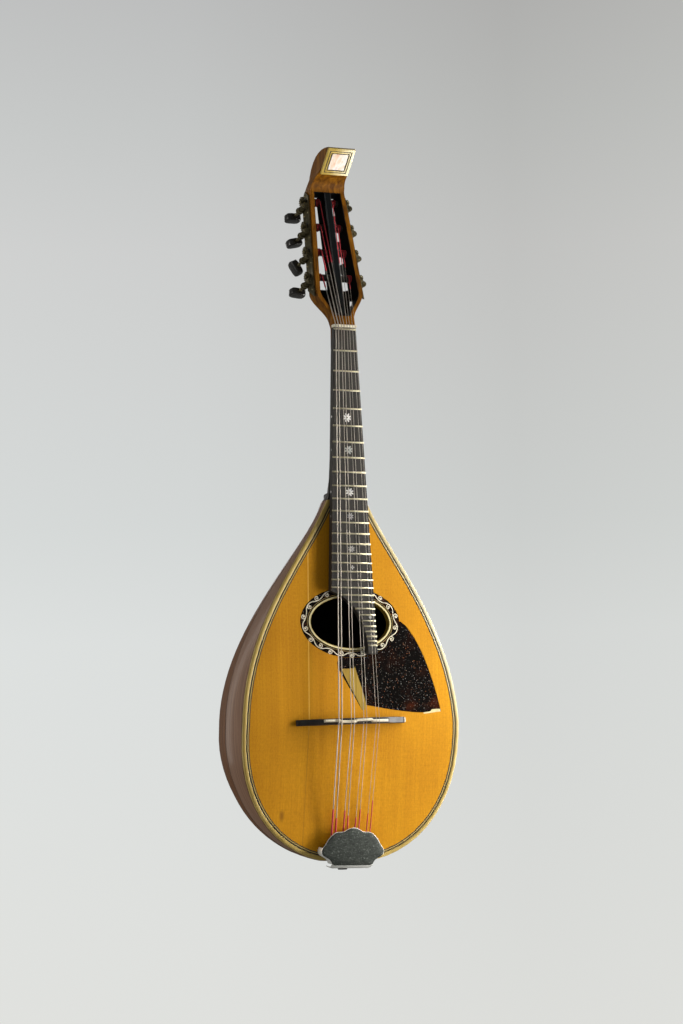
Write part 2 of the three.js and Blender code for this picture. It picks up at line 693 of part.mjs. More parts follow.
// Strings, bass to treble, with their radius and their place across the nut, saddle and tailpiece
const acrossAt = (pitch, gap, index) => (Math.floor(index / 2) - (COURSE_COUNT - 1) / 2) * pitch
  + (index % 2 - 0.5) * gap;
const strings = ['g1', 'g2', 'd1', 'd2', 'a1', 'a2', 'e1', 'e2'].map((name, index) => {
  const side = index < TUNERS_A_SIDE ? -1 : 1;
  const tuner = side < 0 ? index : TUNERS_A_SIDE * 2 - 1 - index;
  return {
    name,
    side,
    tuner,
    radius: STRING_RADII[name[0]],
    nutX: acrossAt(NUT_COURSE_PITCH, NUT_PAIR_GAP, index),
    saddleX: acrossAt(SADDLE_COURSE_PITCH, SADDLE_PAIR_GAP, index),
    tailX: acrossAt(TAIL_COURSE_PITCH, TAIL_PAIR_GAP, index),
    windingX: side * (WINDING_FIRST_X - WINDING_STEP_X * tuner),
    height: TUNER_FIRST + TUNER_PITCH * tuner,
  };
});

// The head's frame
const head = new THREE.Group();
head.rotation.x = -HEAD_TILT;
head.position.set(0, -HEAD_FOOT_DEPTH, HEAD_FOOT_HEIGHT);
mandolin.add(head);
head.updateMatrixWorld(true);
const headPoint = (x, n, u) => new THREE.Vector3(x, n, u).applyMatrix4(head.matrixWorld);

function headHalf(u) {
  if (u < SHOULDER_END) {
    const rise = THREE.MathUtils.smoothstep(u, SHOULDER_START, SHOULDER_END);
    return HEAD_NUT_HALF + (HEAD_SHOULDER_HALF - HEAD_NUT_HALF) * rise;
  }
  if (u < HEAD_STRAIGHT_END) {
    const share = (u - SHOULDER_END) / (HEAD_STRAIGHT_END - SHOULDER_END);
    return HEAD_SHOULDER_HALF + (HEAD_TOP_HALF - HEAD_SHOULDER_HALF) * share;
  }
  const share = Math.min(1, (u - HEAD_STRAIGHT_END) / (FINIAL_START - HEAD_STRAIGHT_END));
  return HEAD_TOP_HALF + (FINIAL_HALF - HEAD_TOP_HALF) * share;
}

// Heights where the head's outline turns
const SHOULDER_STEPS = 8;
const shoulderHeights = Array.from({ length: SHOULDER_STEPS + 1 },
  (_, i) => SHOULDER_START + (SHOULDER_END - SHOULDER_START) * i / SHOULDER_STEPS);
const headHeights = [-HEAD_HEEL * 2, ...shoulderHeights, HEAD_STRAIGHT_END, FINIAL_START,
  FINIAL_CROWN[1] + OVERRUN];

function headOutline() {
  const right = headHeights.map((u) => [u < 0 ? HEAD_NUT_HALF - WELD * 5 : headHalf(u), u]);
  return polygon([...right, ...[...right].reverse().map(([x, u]) => [-x, u])]);
}

// The finial's front is set back from the plaque by its thickness
const plaqueAlong = point2(PLAQUE_HIGH[0] - PLAQUE_LOW[0], PLAQUE_HIGH[1] - PLAQUE_LOW[1]).normalize();
const plaqueBack = point2(plaqueAlong.y, -plaqueAlong.x);
const seatOf = ([n, u]) => [
  n + plaqueBack.x * (PLAQUE_THICKNESS + CLEAR),
  u + plaqueBack.y * (PLAQUE_THICKNESS + CLEAR),
];

function headProfile() {
  const shape = new THREE.Shape();
  shape.moveTo(0, -HEAD_HEEL);
  shape.lineTo(0, SLOT_HIGH + CLEAR);
  shape.quadraticCurveTo(...FINIAL_THROAT, ...seatOf(PLAQUE_LOW));
  shape.lineTo(...seatOf(PLAQUE_HIGH));
  shape.bezierCurveTo(...FINIAL_CROWN, ...FINIAL_NAPE, ...FINIAL_BACK);
  const taper = (HEAD_THICKNESS - HEAD_FOOT_THICKNESS) / BACK_TAPER_END;
  shape.lineTo(HEAD_THICKNESS, BACK_TAPER_END);
  shape.lineTo(HEAD_FOOT_THICKNESS - HEAD_HEEL * taper, -HEAD_HEEL);
  return shape;
}

// One string slot, its lower end a ramp that falls from the face to the back
function slotSolid(side) {
  const heights = [SLOT_LOW, ...shoulderHeights.filter((u) => u > SLOT_LOW), SLOT_HIGH];
  const outer = heights.map((u) => [side * (headHalf(u) - RAIL), u]);
  const inner = [[side * SPINE / 2, SLOT_HIGH], [side * SPINE / 2, SLOT_LOW]];
  const face = polygon(side > 0 ? [...outer, ...inner] : [...outer, ...inner].reverse());
  const rise = (SLOT_LOW_BACK - SLOT_LOW) / HEAD_THICKNESS;
  const ramp = polygon([
    [-OVERRUN, SLOT_LOW - rise * OVERRUN], [-OVERRUN, SLOT_HIGH],
    [HEAD_THICKNESS + OVERRUN, SLOT_HIGH], [HEAD_THICKNESS + OVERRUN, SLOT_LOW_BACK + rise * OVERRUN],
  ]);
  const reach = HEAD_SHOULDER_HALF;
  const through = solidOf(prismAlongY(face, -OVERRUN * 2, HEAD_THICKNESS + OVERRUN));
  return through.intersect(solidOf(prismAlongX(ramp, -reach, reach)));
}

function neckRings() {
  const halves = [
    HEAD_NUT_HALF - WELD * 6, HEAD_NUT_HALF - WELD * 2, boardHalf(0) + CLEAR,
    ...NECK_STATION_SHARES.slice(3, 6).map(({ along }) => boardHalf(jointDrop * along)),
    ...NECK_STATION_SHARES.slice(6, 8).map(({ along }) => boardHalf(jointDrop * along) + CLEAR),
    JOINT_HALF_WIDTH,
  ];
  const depths = NECK_STATION_SHARES.map((station, i) => {
    if (i < 4) return NECK_DEPTH_NUT * station.depth;
    return (i < 6 ? NECK_DEPTH_MIDDLE : HEEL_DEPTH) * station.depth;
  });
  return NECK_STATION_SHARES.map(({ along, roundness }, i) => {
    const ring = [];
    const power = ROUNDNESS_SHARES.rod / roundness;
    for (let k = 0; k <= NECK_FACETS; k += 1) {
      const angle = Math.PI * k / NECK_FACETS;
      const across = Math.sign(Math.cos(angle)) * Math.abs(Math.cos(angle)) ** power;
      ring.push(new THREE.Vector3(-halves[i] * across, depths[i] * Math.sin(angle) ** power, -jointDrop * along));
    }
    return ring;
  });
}

// The tenon that the bowl's ribs and soundboard close round
function tenonRings() {
  const level = TOP_THICKNESS + CLEAR;
  const inset = RIB_WALL + CLEAR;
  const [start, end] = ribDrops;
  const root = bowlRing(start, inset, level, NECK_FACETS, -(jointDrop - OVERRUN));
  return [root, ...[start, end].map((drop) => bowlRing(drop, inset, level, NECK_FACETS))];
}

function addNeck() {
  const reach = HEAD_SHOULDER_HALF + OVERRUN;
  const blank = solidOf(prismAlongX(headProfile(), -reach, reach, 10));
  const farBack = HEAD_THICKNESS + OVERRUN;
  const front = PLAQUE_HIGH[0] - OVERRUN;
  let headSolid = blank.intersect(solidOf(prismAlongY(headOutline(), front, farBack)));
  for (const side of [-1, 1]) {
    for (let tuner = 0; tuner < TUNERS_A_SIDE; tuner += 1) {
      const height = TUNER_FIRST + TUNER_PITCH * tuner;
      const bore = (radius, from, to) => solidOf(rodAlongX(radius, Math.min(side * from, side * to),
        Math.max(side * from, side * to), ROLLER_SIDES).translate(0, ROLLER_DEPTH, height));
      headSolid = headSolid.subtract(bore(ROLLER_RADIUS + CLEAR, SPINE / 2 + CLEAR, reach));
      const pinFace = SPINE / 2 - ROLLER_PIN - CLEAR / 2;
      headSolid = headSolid.subtract(bore(ROLLER_PIN_RADIUS + CLEAR, pinFace, SPINE));
    }
  }
  const placed = solidOf(geometryOf(headSolid).applyMatrix4(head.matrixWorld));
  const nutHigh = BOARD_HEAD + CLEAR + NUT_THICKNESS + CLEAR;
  const seat = solidOf(prismAlongX(rectangle(-reach, 0, -reach, nutHigh), -reach, reach));
  const slots = [-1, 1].map((side) => solidOf(geometryOf(slotSolid(side)).applyMatrix4(head.matrixWorld)));
  const beforeFace = solidOf(prismAlongX(rectangle(-reach, 0, HEAD_HEEL, HEAD_HEEL + reach), -reach, reach)
    .applyMatrix4(head.matrixWorld));
  const handle = solidOf(loft(neckRings(), faceXY)).subtract(beforeFace).add(solidOf(loft(tenonRings(), faceXY)));
  const neck = handle.add(placed).subtract(seat).subtract(slots[0]).subtract(slots[1]);
  piece(body, 'neck', neck, finishes.headWood);
}

function addNut() {
  const low = BOARD_HEAD + CLEAR;
  const nutSolid = solidOf(prismAlongX(rectangle(-NUT_HEIGHT, -CLEAR, low, low + NUT_THICKNESS),
    -NUT_WIDTH / 2, NUT_WIDTH / 2));
  const grooved = strings.reduce((nut, string) => {
    const half = string.radius + CLEAR;
    const groove = prismAlongZ(rectangle(string.nutX - half, string.nutX + half,
      -NUT_HEIGHT - OVERRUN, -NUT_HEIGHT + NUT_GROOVE), 0, low + NUT_THICKNESS + OVERRUN);
    return nut.subtract(solidOf(groove));
  }, nutSolid);
  piece(body, 'nut', grooved, finishes.ivoroid);
}

// The plaque on the finial: an ivoroid frame round a pearl panel
function addPlaque() {
  const plaque = new THREE.Group();
  plaque.position.set(0, PLAQUE_LOW[0], PLAQUE_LOW[1]);
  plaque.rotation.x = Math.atan2(-plaqueAlong.x, plaqueAlong.y);
  head.add(plaque);
  const half = PLAQUE_WIDTH / 2;
  const panelHalf = half - PLAQUE_FRAME;
  const frame = rectangle(-half, half, 0, PLAQUE_LENGTH);
  frame.holes.push(rectangle(-panelHalf, panelHalf, PLAQUE_FRAME, PLAQUE_LENGTH - PLAQUE_FRAME));
  piece(plaque, 'plaque_frame', prismAlongY(frame, 0, PLAQUE_THICKNESS), finishes.ivoroid);
  const panel = rectangle(-panelHalf + CLEAR, panelHalf - CLEAR,
    PLAQUE_FRAME + CLEAR, PLAQUE_LENGTH - PLAQUE_FRAME - CLEAR);
  piece(plaque, 'plaque_pearl', prismAlongY(panel, 0, PLAQUE_THICKNESS), finishes.pearl);
}

// Tuners: the gear turns with the roller, and the worm that drives it turns with the knob
const gearPitchRadius = GEAR_MODULE * GEAR_TEETH / 2;
const wormPitch = Math.PI * GEAR_MODULE;
const wormDrop = gearPitchRadius + WORM_PITCH_RADIUS;
const wormHalf = wormPitch * WORM_TURNS / 2;
const frontLugFace = ROLLER_DEPTH - wormHalf - LUG_GAP - FRONT_LUG;
const rearLugFace = ROLLER_DEPTH + wormHalf + LUG_GAP;
const collarFace = rearLugFace + REAR_LUG + LUG_GAP;
const sideTilt = Math.atan2(HEAD_SHOULDER_HALF - HEAD_TOP_HALF, HEAD_STRAIGHT_END - SHOULDER_END);
const plateFace = (u) => headHalf(u) + (CLEAR + PLATE_THICKNESS) / Math.cos(sideTilt);
const gearX = (u) => plateFace(u) + GEAR_STANDOFF;

function gearShape() {
  const root = gearPitchRadius - GEAR_ROOT;
  const tip = gearPitchRadius + GEAR_TIP;
  const points = [];
  const toothAngle = Math.PI * 2 / GEAR_TEETH;
  for (let tooth = 0; tooth < GEAR_TEETH; tooth += 1) {
    const middle = toothAngle * tooth - Math.PI / 2;
    const tipAngle = TOOTH_TIP_HALF / tip;
    const corners = [[tip, -tipAngle], [tip, tipAngle], [root, toothAngle / 2]];
    for (const [radius, angle] of corners) {
      points.push([radius * Math.cos(middle + angle), radius * Math.sin(middle + angle)]);
    }
  }
  return polygon(points);
}

// The worm and its shaft: the thread is an off-centre round section that turns once for each pitch
function wormRing(along, radiusAt, phase) {
  return Array.from({ length: WORM_SIDES }, (_, k) => {
    const turn = Math.PI * 2 * (k / WORM_SIDES + phase);
    const radius = radiusAt(Math.PI * 2 * k / WORM_SIDES);
    return new THREE.Vector3(radius * Math.sin(turn), along, radius * Math.cos(turn));
  });
}

function wormGeometry(shaftEnd) {
  const round = (radius) => () => radius;
  const thread = (angle) => WORM_MEAN_RADIUS - WORM_THREAD * Math.cos(angle);
  const layers = WORM_TURNS * WORM_STEPS;
  const start = ROLLER_DEPTH - wormHalf;
  const phaseAt = (along) => (along - ROLLER_DEPTH) / wormPitch;
  const shaftRing = (along, radius, phase) => wormRing(along, round(radius), phase);
  const rings = [shaftRing(frontLugFace - LUG_GAP, SHAFT_RADIUS, phaseAt(start))];
  rings.push(shaftRing(start, SHAFT_RADIUS, phaseAt(start)));
  for (let layer = 0; layer <= layers; layer += 1) {
    const along = start + wormPitch * WORM_TURNS * layer / layers;
    rings.push(wormRing(along, thread, phaseAt(along)));
  }
  const endPhase = phaseAt(ROLLER_DEPTH + wormHalf);
  rings.push(shaftRing(ROLLER_DEPTH + wormHalf, SHAFT_RADIUS, endPhase));
  rings.push(shaftRing(collarFace, SHAFT_RADIUS, endPhase));
  rings.push(shaftRing(collarFace, COLLAR_RADIUS, endPhase));
  rings.push(shaftRing(collarFace + COLLAR, COLLAR_RADIUS, endPhase));
  rings.push(shaftRing(collarFace + COLLAR, SHAFT_RADIUS, endPhase));
  rings.push(shaftRing(shaftEnd, SHAFT_RADIUS, endPhase));
  return loft(rings, (point) => point2(point.z, point.x));
}

function knobGeometry() {
  const halfWidth = KNOB_WIDTH / 2 - KNOB_EDGE;
  const halfLength = KNOB_LENGTH / 2 - KNOB_EDGE;
  const corner = KNOB_CORNER;
  const shape = new THREE.Shape();
  shape.moveTo(-halfWidth + corner, -halfLength);
  shape.lineTo(halfWidth - corner, -halfLength);
  shape.quadraticCurveTo(halfWidth, -halfLength, halfWidth, -halfLength + corner);
  shape.lineTo(halfWidth, halfLength - corner);
  shape.quadraticCurveTo(halfWidth, halfLength, halfWidth - corner, halfLength);
  shape.lineTo(-halfWidth + corner, halfLength);
  shape.quadraticCurveTo(-halfWidth, halfLength, -halfWidth, halfLength - corner);
  shape.lineTo(-halfWidth, -halfLength + corner);
  shape.quadraticCurveTo(-halfWidth, -halfLength, -halfWidth + corner, -halfLength);
  const core = KNOB_THICKNESS - KNOB_EDGE * 2;
  const blank = new THREE.ExtrudeGeometry(shape, {
    depth: core, bevelThickness: KNOB_EDGE, bevelSize: KNOB_EDGE, bevelSegments: 1, curveSegments: 2,
  }).translate(0, 0, -core / 2);
  const bore = rodAlongY(SHAFT_RADIUS + CLEAR, -KNOB_LENGTH, -KNOB_LENGTH / 2 + KNOB_BORE_DEPTH, WORM_SIDES);
  return solidOf(blank).subtract(solidOf(bore));
}

// A winding: one tube that climbs the roller, wound from the string towards the rail
function windingRings(side) {
  const rings = [];
  const steps = WINDING_TURNS * WINDING_STEPS;
  const radius = ROLLER_RADIUS + WINDING_RADIUS - WINDING_SINK;
  for (let step = 0; step <= steps; step += 1) {
    const turn = Math.PI * 2 * step / WINDING_STEPS;
    const out = new THREE.Vector3(0, -Math.cos(turn), Math.sin(turn));
    const centre = out.clone().multiplyScalar(radius);
    centre.x = side * WINDING_PITCH * step / WINDING_STEPS;
    const ring = [];
    for (let k = 0; k < WINDING_SIDES; k += 1) {
      const angle = Math.PI * 2 * k / WINDING_SIDES;
      const offset = out.clone().multiplyScalar(WINDING_RADIUS * Math.cos(angle));
      offset.x += WINDING_RADIUS * Math.sin(angle);
      ring.push(centre.clone().add(offset));
    }
    rings.push(ring);
  }
  return rings;
}

// The least distance between points of the winding that lie at least half a turn apart
function leastWindingGap(rings) {
  let least = Infinity;
  rings.forEach((ring, i) => {
    for (let j = i + WINDING_STEPS / 2; j < rings.length; j += 1) {
      for (const a of ring) {
        for (const b of rings[j]) least = Math.min(least, a.distanceTo(b));
      }
    }
  });
  return least;
}

function rollerSolid(string) {
  const face = plateFace(string.height);
  const gearIn = gearX(string.height) - GEAR_WIDTH / 2;
  const gearOut = gearIn + GEAR_WIDTH;
  const drumEnd = face + CLEAR;
  const profile = [
    [0, SPINE / 2 - ROLLER_PIN], [ROLLER_PIN_RADIUS, SPINE / 2 - ROLLER_PIN],
    [ROLLER_PIN_RADIUS, SPINE / 2 + CLEAR], [ROLLER_RADIUS, SPINE / 2 + CLEAR],
    [ROLLER_RADIUS, drumEnd], [HUB_RADIUS, drumEnd], [HUB_RADIUS, gearOut - WELD],
    [GEAR_CAP_RADIUS, gearOut - WELD], [GEAR_CAP_RADIUS, gearOut + GEAR_CAP], [0, gearOut + GEAR_CAP],
  ].map(([r, x]) => point2(r, x));
  const drum = new THREE.LatheGeometry(profile, ROLLER_SIDES).rotateZ(-string.side * Math.PI / 2);
  const gear = prismAlongX(gearShape(), gearIn, gearOut);
  if (string.side < 0) gear.translate(-gearIn - gearOut, 0, 0);
  const rings = windingRings(string.side);
  const winding = loft(rings, (point) => point2(point.x, point.y)).translate(string.windingX, 0, 0);
  return union([drum, gear, winding]);
}

function addTuner(string) {
  const tuner = new THREE.Group();
  tuner.position.set(0, ROLLER_DEPTH, string.height);
  head.add(tuner);
  piece(tuner, `roller_${string.name}`, rollerSolid(string), finishes.silk);

  const drive = new THREE.Group();
  drive.position.set(string.side * gearX(string.height), 0, string.height - wormDrop);
  head.add(drive);
  const knobFace = KNOB_CENTRE - KNOB_LENGTH / 2;
  const shaftEnd = knobFace + KNOB_BORE_DEPTH - CLEAR;
  piece(drive, `worm_${string.name}`, wormGeometry(shaftEnd), finishes.brass);
  const knob = piece(drive, `knob_${string.name}`, knobGeometry(), finishes.ebony);
  knob.position.y = KNOB_CENTRE;
  knob.rotation.y = KNOB_TURNS[string.tuner];
}

function addTunerPlate(name, side) {
  const shape = polygon([
    [PLATE_FRONT, PLATE_LOW], [PLATE_FRONT, PLATE_HIGH - PLATE_POINT],
    [(PLATE_FRONT + PLATE_BACK) / 2, PLATE_HIGH], [PLATE_BACK, PLATE_HIGH - PLATE_POINT],
    [PLATE_BACK, PLATE_LOW_BACK],
  ]);
  const foot = headHalf(SHOULDER_END) + CLEAR / Math.cos(sideTilt);
  const sheet = prismAlongX(shape, 0, PLATE_THICKNESS)
    .translate(0, 0, -SHOULDER_END).rotateY(-sideTilt).translate(foot, 0, SHOULDER_END);
  let plate = solidOf(sheet);
  for (let tuner = 0; tuner < TUNERS_A_SIDE; tuner += 1) {
    const height = TUNER_FIRST + TUNER_PITCH * tuner;
    const wormHeight = height - wormDrop;
    const wormX = gearX(height);
    const baseX = plateFace(wormHeight) - PLATE_THICKNESS / 2;
    const lug = new THREE.Shape();
    lug.moveTo(baseX, wormHeight - LUG_RADIUS);
    lug.lineTo(wormX, wormHeight - LUG_RADIUS);
    lug.absarc(wormX, wormHeight, LUG_RADIUS, -Math.PI / 2, Math.PI / 2, false);
    lug.lineTo(baseX, wormHeight + LUG_RADIUS);
    plate = plate.add(solidOf(prismAlongY(lug, frontLugFace, frontLugFace + FRONT_LUG, 4)));
    plate = plate.add(solidOf(prismAlongY(lug, rearLugFace, rearLugFace + REAR_LUG, 4)));
    const shaftBore = rodAlongY(SHAFT_RADIUS + CLEAR, 0, HEAD_THICKNESS + OVERRUN, WORM_SIDES);
    plate = plate.subtract(solidOf(shaftBore.translate(wormX, 0, wormHeight)));
    const rollerBore = rodAlongX(ROLLER_RADIUS + CLEAR, 0, wormX, ROLLER_SIDES);
    plate = plate.subtract(solidOf(rollerBore.translate(0, ROLLER_DEPTH, height)));
  }
  const geometry = geometryOf(plate);
  if (side < 0) {
    geometry.scale(-1, 1, 1);
    geometry.setIndex(Array.from(geometry.index.array).reverse());
    geometry.computeVertexNormals();
  }
  piece(head, name, geometry, finishes.brass);
}

// A line through given places, with one step from each place to the next
class RouteCurve extends THREE.Curve {
  constructor(places) {
    super();
    this.places = places;
  }

  getPoint(t, target = new THREE.Vector3()) {
    const last = this.places.length - 1;
    const whole = Math.min(Math.floor(t * last), last - 1);
    return target.lerpVectors(this.places[whole], this.places[whole + 1], t * last - whole);
  }

  getUtoTmapping(u) {
    return u;
  }
}

const tailEdge = new THREE.Vector3(0, rimBack(bottomDrop), -bottomDrop);
const tailFrame = new THREE.Matrix4().makeRotationX(CANT).setPosition(tailEdge);

function stringPlaces(string) {
  const { radius } = string;
  const hookZ = HOOK_INSET + HOOK_WIDTH / 2 + CLEAR;
  const hookY = -(TAIL_PLATE_THICKNESS + CLEAR * 2 + radius + HOOK_WIDTH);
  const tail = new THREE.Vector3(string.tailX, hookY, hookZ).applyMatrix4(tailFrame);
  const saddle = new THREE.Vector3(string.saddleX, -(SADDLE_TOP + CLEAR + radius), -bridgeDrop);
  const nutZ = BOARD_HEAD + CLEAR + NUT_THICKNESS / 2;
  const nut = new THREE.Vector3(string.nutX, -(NUT_HEIGHT - NUT_GROOVE + CLEAR + radius), nutZ);
  const wrap = ROLLER_RADIUS + WINDING_RADIUS * 2 - WINDING_SINK + CLEAR + radius;
  const roller = headPoint(string.windingX, ROLLER_DEPTH - wrap, string.height);
  return [tail, saddle, nut, roller];
}

function addString(string) {
  const places = stringPlaces(string);
  const section = polygon(Array.from({ length: STRING_SIDES }, (_, k) => {
    const angle = Math.PI * 2 * k / STRING_SIDES;
    return [string.radius * Math.cos(angle), string.radius * Math.sin(angle)];
  }));
  const geometry = new THREE.ExtrudeGeometry(section, {
    steps: places.length - 1, extrudePath: new RouteCurve(places),
  });
  piece(body, `string_${string.name}`, geometry, finishes.steel);
}

function addBridge() {
  const half = BRIDGE_LENGTH / 2;
  const flat = BRIDGE_FLAT / 2;
  const low = -CLEAR;
  const shape = new THREE.Shape();
  shape.moveTo(-half, low);
  shape.lineTo(-half, -BRIDGE_END_HEIGHT);
  shape.quadraticCurveTo(-(half + flat) / 2, -BRIDGE_END_HEIGHT, -flat, -BRIDGE_HEIGHT);
  shape.lineTo(flat, -BRIDGE_HEIGHT);
  shape.quadraticCurveTo((half + flat) / 2, -BRIDGE_END_HEIGHT, half, -BRIDGE_END_HEIGHT);
  shape.lineTo(half, low);
  shape.lineTo(flat, low);
  shape.quadraticCurveTo(0, -BRIDGE_FOOT_ARCH * 2, -flat, low);
  const bar = prismAlongZ(shape, -BRIDGE_WIDTH / 2, BRIDGE_WIDTH / 2, 6);
  const mesh = piece(body, 'bridge', bar, finishes.ebony);
  mesh.position.z = -bridgeDrop + BRIDGE_WIDTH / 2;
}

// The saddle's top steps forwards and back under each pair of strings
function addSaddle() {
  const bay = SADDLE_LENGTH / COURSE_COUNT;
  const low = [];
  for (let course = 0; course < COURSE_COUNT; course += 1) {
    const step = course % 2 === 0 ? SADDLE_STEP / 2 : -SADDLE_STEP / 2;
    const left = -SADDLE_LENGTH / 2 + bay * course;
    low.push([left, step], [left + bay - CLEAR, step]);
  }
  const high = [...low].reverse().map(([x, z]) => [x, z + SADDLE_WIDTH]);
  const solid = prismAlongY(polygon([...low, ...high]), -SADDLE_TOP, -(BRIDGE_HEIGHT + CLEAR));
  const mesh = piece(body, 'saddle', solid, finishes.bone);
  mesh.position.z = -bridgeDrop - SADDLE_WIDTH / 2;
}

// Tailpiece: a plate with a hook for each string, and a tang that the end pin holds to the tail
function addTailpiece() {
  const sheet = TAIL_PLATE_THICKNESS;
  const foot = prismAlongY(rectangle(-TAIL_PLATE_WIDTH / 2, TAIL_PLATE_WIDTH / 2,
    sheet, TAIL_PLATE_LENGTH), -CLEAR - sheet, -CLEAR);
  const tongue = prismAlongY(rectangle(-TANG_WIDTH / 2, TANG_WIDTH / 2,
    -CLEAR * 2 - sheet, sheet + WELD), -CLEAR - sheet, -CLEAR);
  const hooks = strings.flatMap((string) => [
    prismAlongY(rectangle(string.tailX - HOOK_WIDTH / 2, string.tailX + HOOK_WIDTH / 2,
      HOOK_INSET - HOOK_WIDTH / 2, HOOK_INSET + HOOK_WIDTH / 2), -CLEAR - sheet - HOOK_HEIGHT, -CLEAR - WELD),
  ]);
  const bent = [foot, tongue, ...hooks].map((geometry) => geometry.applyMatrix4(tailFrame));
  const edgeBack = tailEdge.y;
  const tang = prismAlongZ(rectangle(-TANG_WIDTH / 2, TANG_WIDTH / 2,
    edgeBack - CLEAR - sheet, edgeBack + TANG_LENGTH), -CLEAR - sheet, -CLEAR)
    .translate(0, 0, -bottomDrop);
  const hole = rodAlongY(PIN_RADIUS + CLEAR, -OVERRUN, OVERRUN, PIN_SIDES)
    .rotateX(Math.PI / 2).translate(0, pinBack, -bottomDrop);
  const plate = union([...bent, tang]).subtract(solidOf(hole));
  piece(body, 'tailpiece_plate', plate, finishes.nickel);
}

// The cover's cloud outline in shares of its half width and height
function coverShape(inset) {
  const wide = COVER_HALF_WIDTH - inset;
  const high = COVER_HIGH - inset;
  const low = COVER_LOW + inset;
  const lip = COVER_LIP_HALF - inset;
  const right = (shape, from, scale) => {
    const at = (x, z) => [scale * x * wide, z * high];
    const lobes = [...COVER_LOBE_SHARES, { bend: COVER_WAIST_SHARE, end: [lip / wide, low / high] }];
    const back = lobes.map(({ bend }, i) => ({ bend, end: i ? lobes[i - 1].end : [0, 1] })).reverse();
    const path = from > 0 ? lobes : back;
    path.forEach(({ bend, end }) => shape.quadraticCurveTo(...at(...bend), ...at(...end)));
  };
  const shape = new THREE.Shape();
  shape.moveTo(0, high);
  right(shape, 1, 1);
  shape.lineTo(-lip, low);
  right(shape, -1, -1);
  return shape;
}

function addCover() {
  const face = -CLEAR - COVER_HEIGHT;
  const sheet = solidOf(prismAlongY(coverShape(0), face, face + COVER_SHEET, 4));
  const wall = solidOf(prismAlongY(coverShape(0), face, -CLEAR, 4))
    .subtract(solidOf(prismAlongY(coverShape(COVER_SHEET), face - OVERRUN, OVERRUN, 4)));
  const wide = COVER_HALF_WIDTH + OVERRUN;
  const high = COVER_SKIRT_HIGH;
  const zone = solidOf(prismAlongY(rectangle(-wide, wide, COVER_LOW - OVERRUN, high), face - OVERRUN, OVERRUN));
  const lip = solidOf(prismAlongY(rectangle(-COVER_LIP_HALF, COVER_LIP_HALF, COVER_LOW, COVER_LOW + COVER_SHEET),
    face, COVER_LIP_DEPTH));
  const cover = sheet.add(wall.intersect(zone)).add(lip);
  piece(body, 'tailpiece_cover', geometryOf(cover).applyMatrix4(tailFrame), finishes.nickel);
}

addRibs();
addSoundboard();
const holeToBrace = HOLE_HALF_HEIGHT + ROSETTE_HEIGHT + ROSETTE_TO_BRACE + BRACE_WIDTH / 2;
addBrace('upper_brace', holeDrop - holeToBrace);
addBrace('lower_brace', holeDrop + holeToBrace);
addTailBlock();
addEndPin();
addFingerboard();
addNeck();
addNut();
addPlaque();
addTunerPlate('tuner_plate_bass', -1);
addTunerPlate('tuner_plate_treble', 1);
strings.forEach(addTuner);
strings.forEach(addString);
addBridge();
addSaddle();
addTailpiece();
addCover();
console.log(`least gap between turns of a winding: ${leastWindingGap(windingRings(1)).toFixed(3)} mm`);

export default mandolin;
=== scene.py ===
# %% [markdown]
# # A bowl back mandolin
# This lesson dresses a packed mandolin in Blender. The solids come from the CAD frame, and each cell adds
# one finish or one piece of trim. All lengths are metres, +Z runs up the neck, +X is the treble side and
# the soundboard faces -Y.

# %% Load the frame
import bisect
import math

import bmesh
import bpy
from mathutils import Matrix, Vector


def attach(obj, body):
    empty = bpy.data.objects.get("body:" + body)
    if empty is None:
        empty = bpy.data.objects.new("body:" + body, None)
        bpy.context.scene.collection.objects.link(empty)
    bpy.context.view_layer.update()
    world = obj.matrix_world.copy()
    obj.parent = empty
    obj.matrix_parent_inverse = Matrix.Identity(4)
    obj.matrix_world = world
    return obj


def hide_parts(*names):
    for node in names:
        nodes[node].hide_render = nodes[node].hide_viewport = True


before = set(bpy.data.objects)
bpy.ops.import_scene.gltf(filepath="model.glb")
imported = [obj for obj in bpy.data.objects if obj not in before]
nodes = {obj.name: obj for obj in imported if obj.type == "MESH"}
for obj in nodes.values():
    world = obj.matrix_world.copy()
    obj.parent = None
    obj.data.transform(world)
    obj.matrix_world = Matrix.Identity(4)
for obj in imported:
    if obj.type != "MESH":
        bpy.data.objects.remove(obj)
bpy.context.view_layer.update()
MM = 0.001
print("solids in the frame:", len(nodes))

# %% [markdown]
# The camera stands low and a little to the bass side, three metres away with a long lens, so that the neck
# and the bowl keep their true proportions. It is set from an azimuth, an elevation and a small roll.

# %% Camera
AIM = Vector((-5.29, 0.0, -155.32)) * MM
AZIMUTH = math.radians(-24.87)
ELEVATION = math.radians(-7.29)
ROLL = math.radians(-1.50)
DISTANCE = 3.0998
LENS = 129.73
SENSOR = 36.0
back = Vector((
    math.sin(AZIMUTH) * math.cos(ELEVATION),
    -math.cos(AZIMUTH) * math.cos(ELEVATION),
    math.sin(ELEVATION),
))
right = Vector((math.cos(AZIMUTH), math.sin(AZIMUTH), 0.0))
up = back.cross(right)
camera_right = right * math.cos(ROLL) + up * math.sin(ROLL)
camera_up = up * math.cos(ROLL) - right * math.sin(ROLL)
camera_data = bpy.data.cameras.new("camera")
camera_data.lens = LENS
camera_data.sensor_width = SENSOR
camera = bpy.data.objects.new("camera", camera_data)
camera.matrix_world = Matrix.Translation(AIM + back * DISTANCE) @ Matrix(
    (camera_right, camera_up, back)
).transposed().to_4x4()
bpy.context.scene.collection.objects.link(camera)
bpy.context.scene.camera = camera
print("camera at", [round(v, 3) for v in camera.matrix_world.translation])

# %% [markdown]
# The sky and every finish are small graphs of nodes. One class adds nodes to a graph with short calls: an
# input is named, or numbered after an underscore, and takes either a value or another node's output.

# %% A kit for node graphs


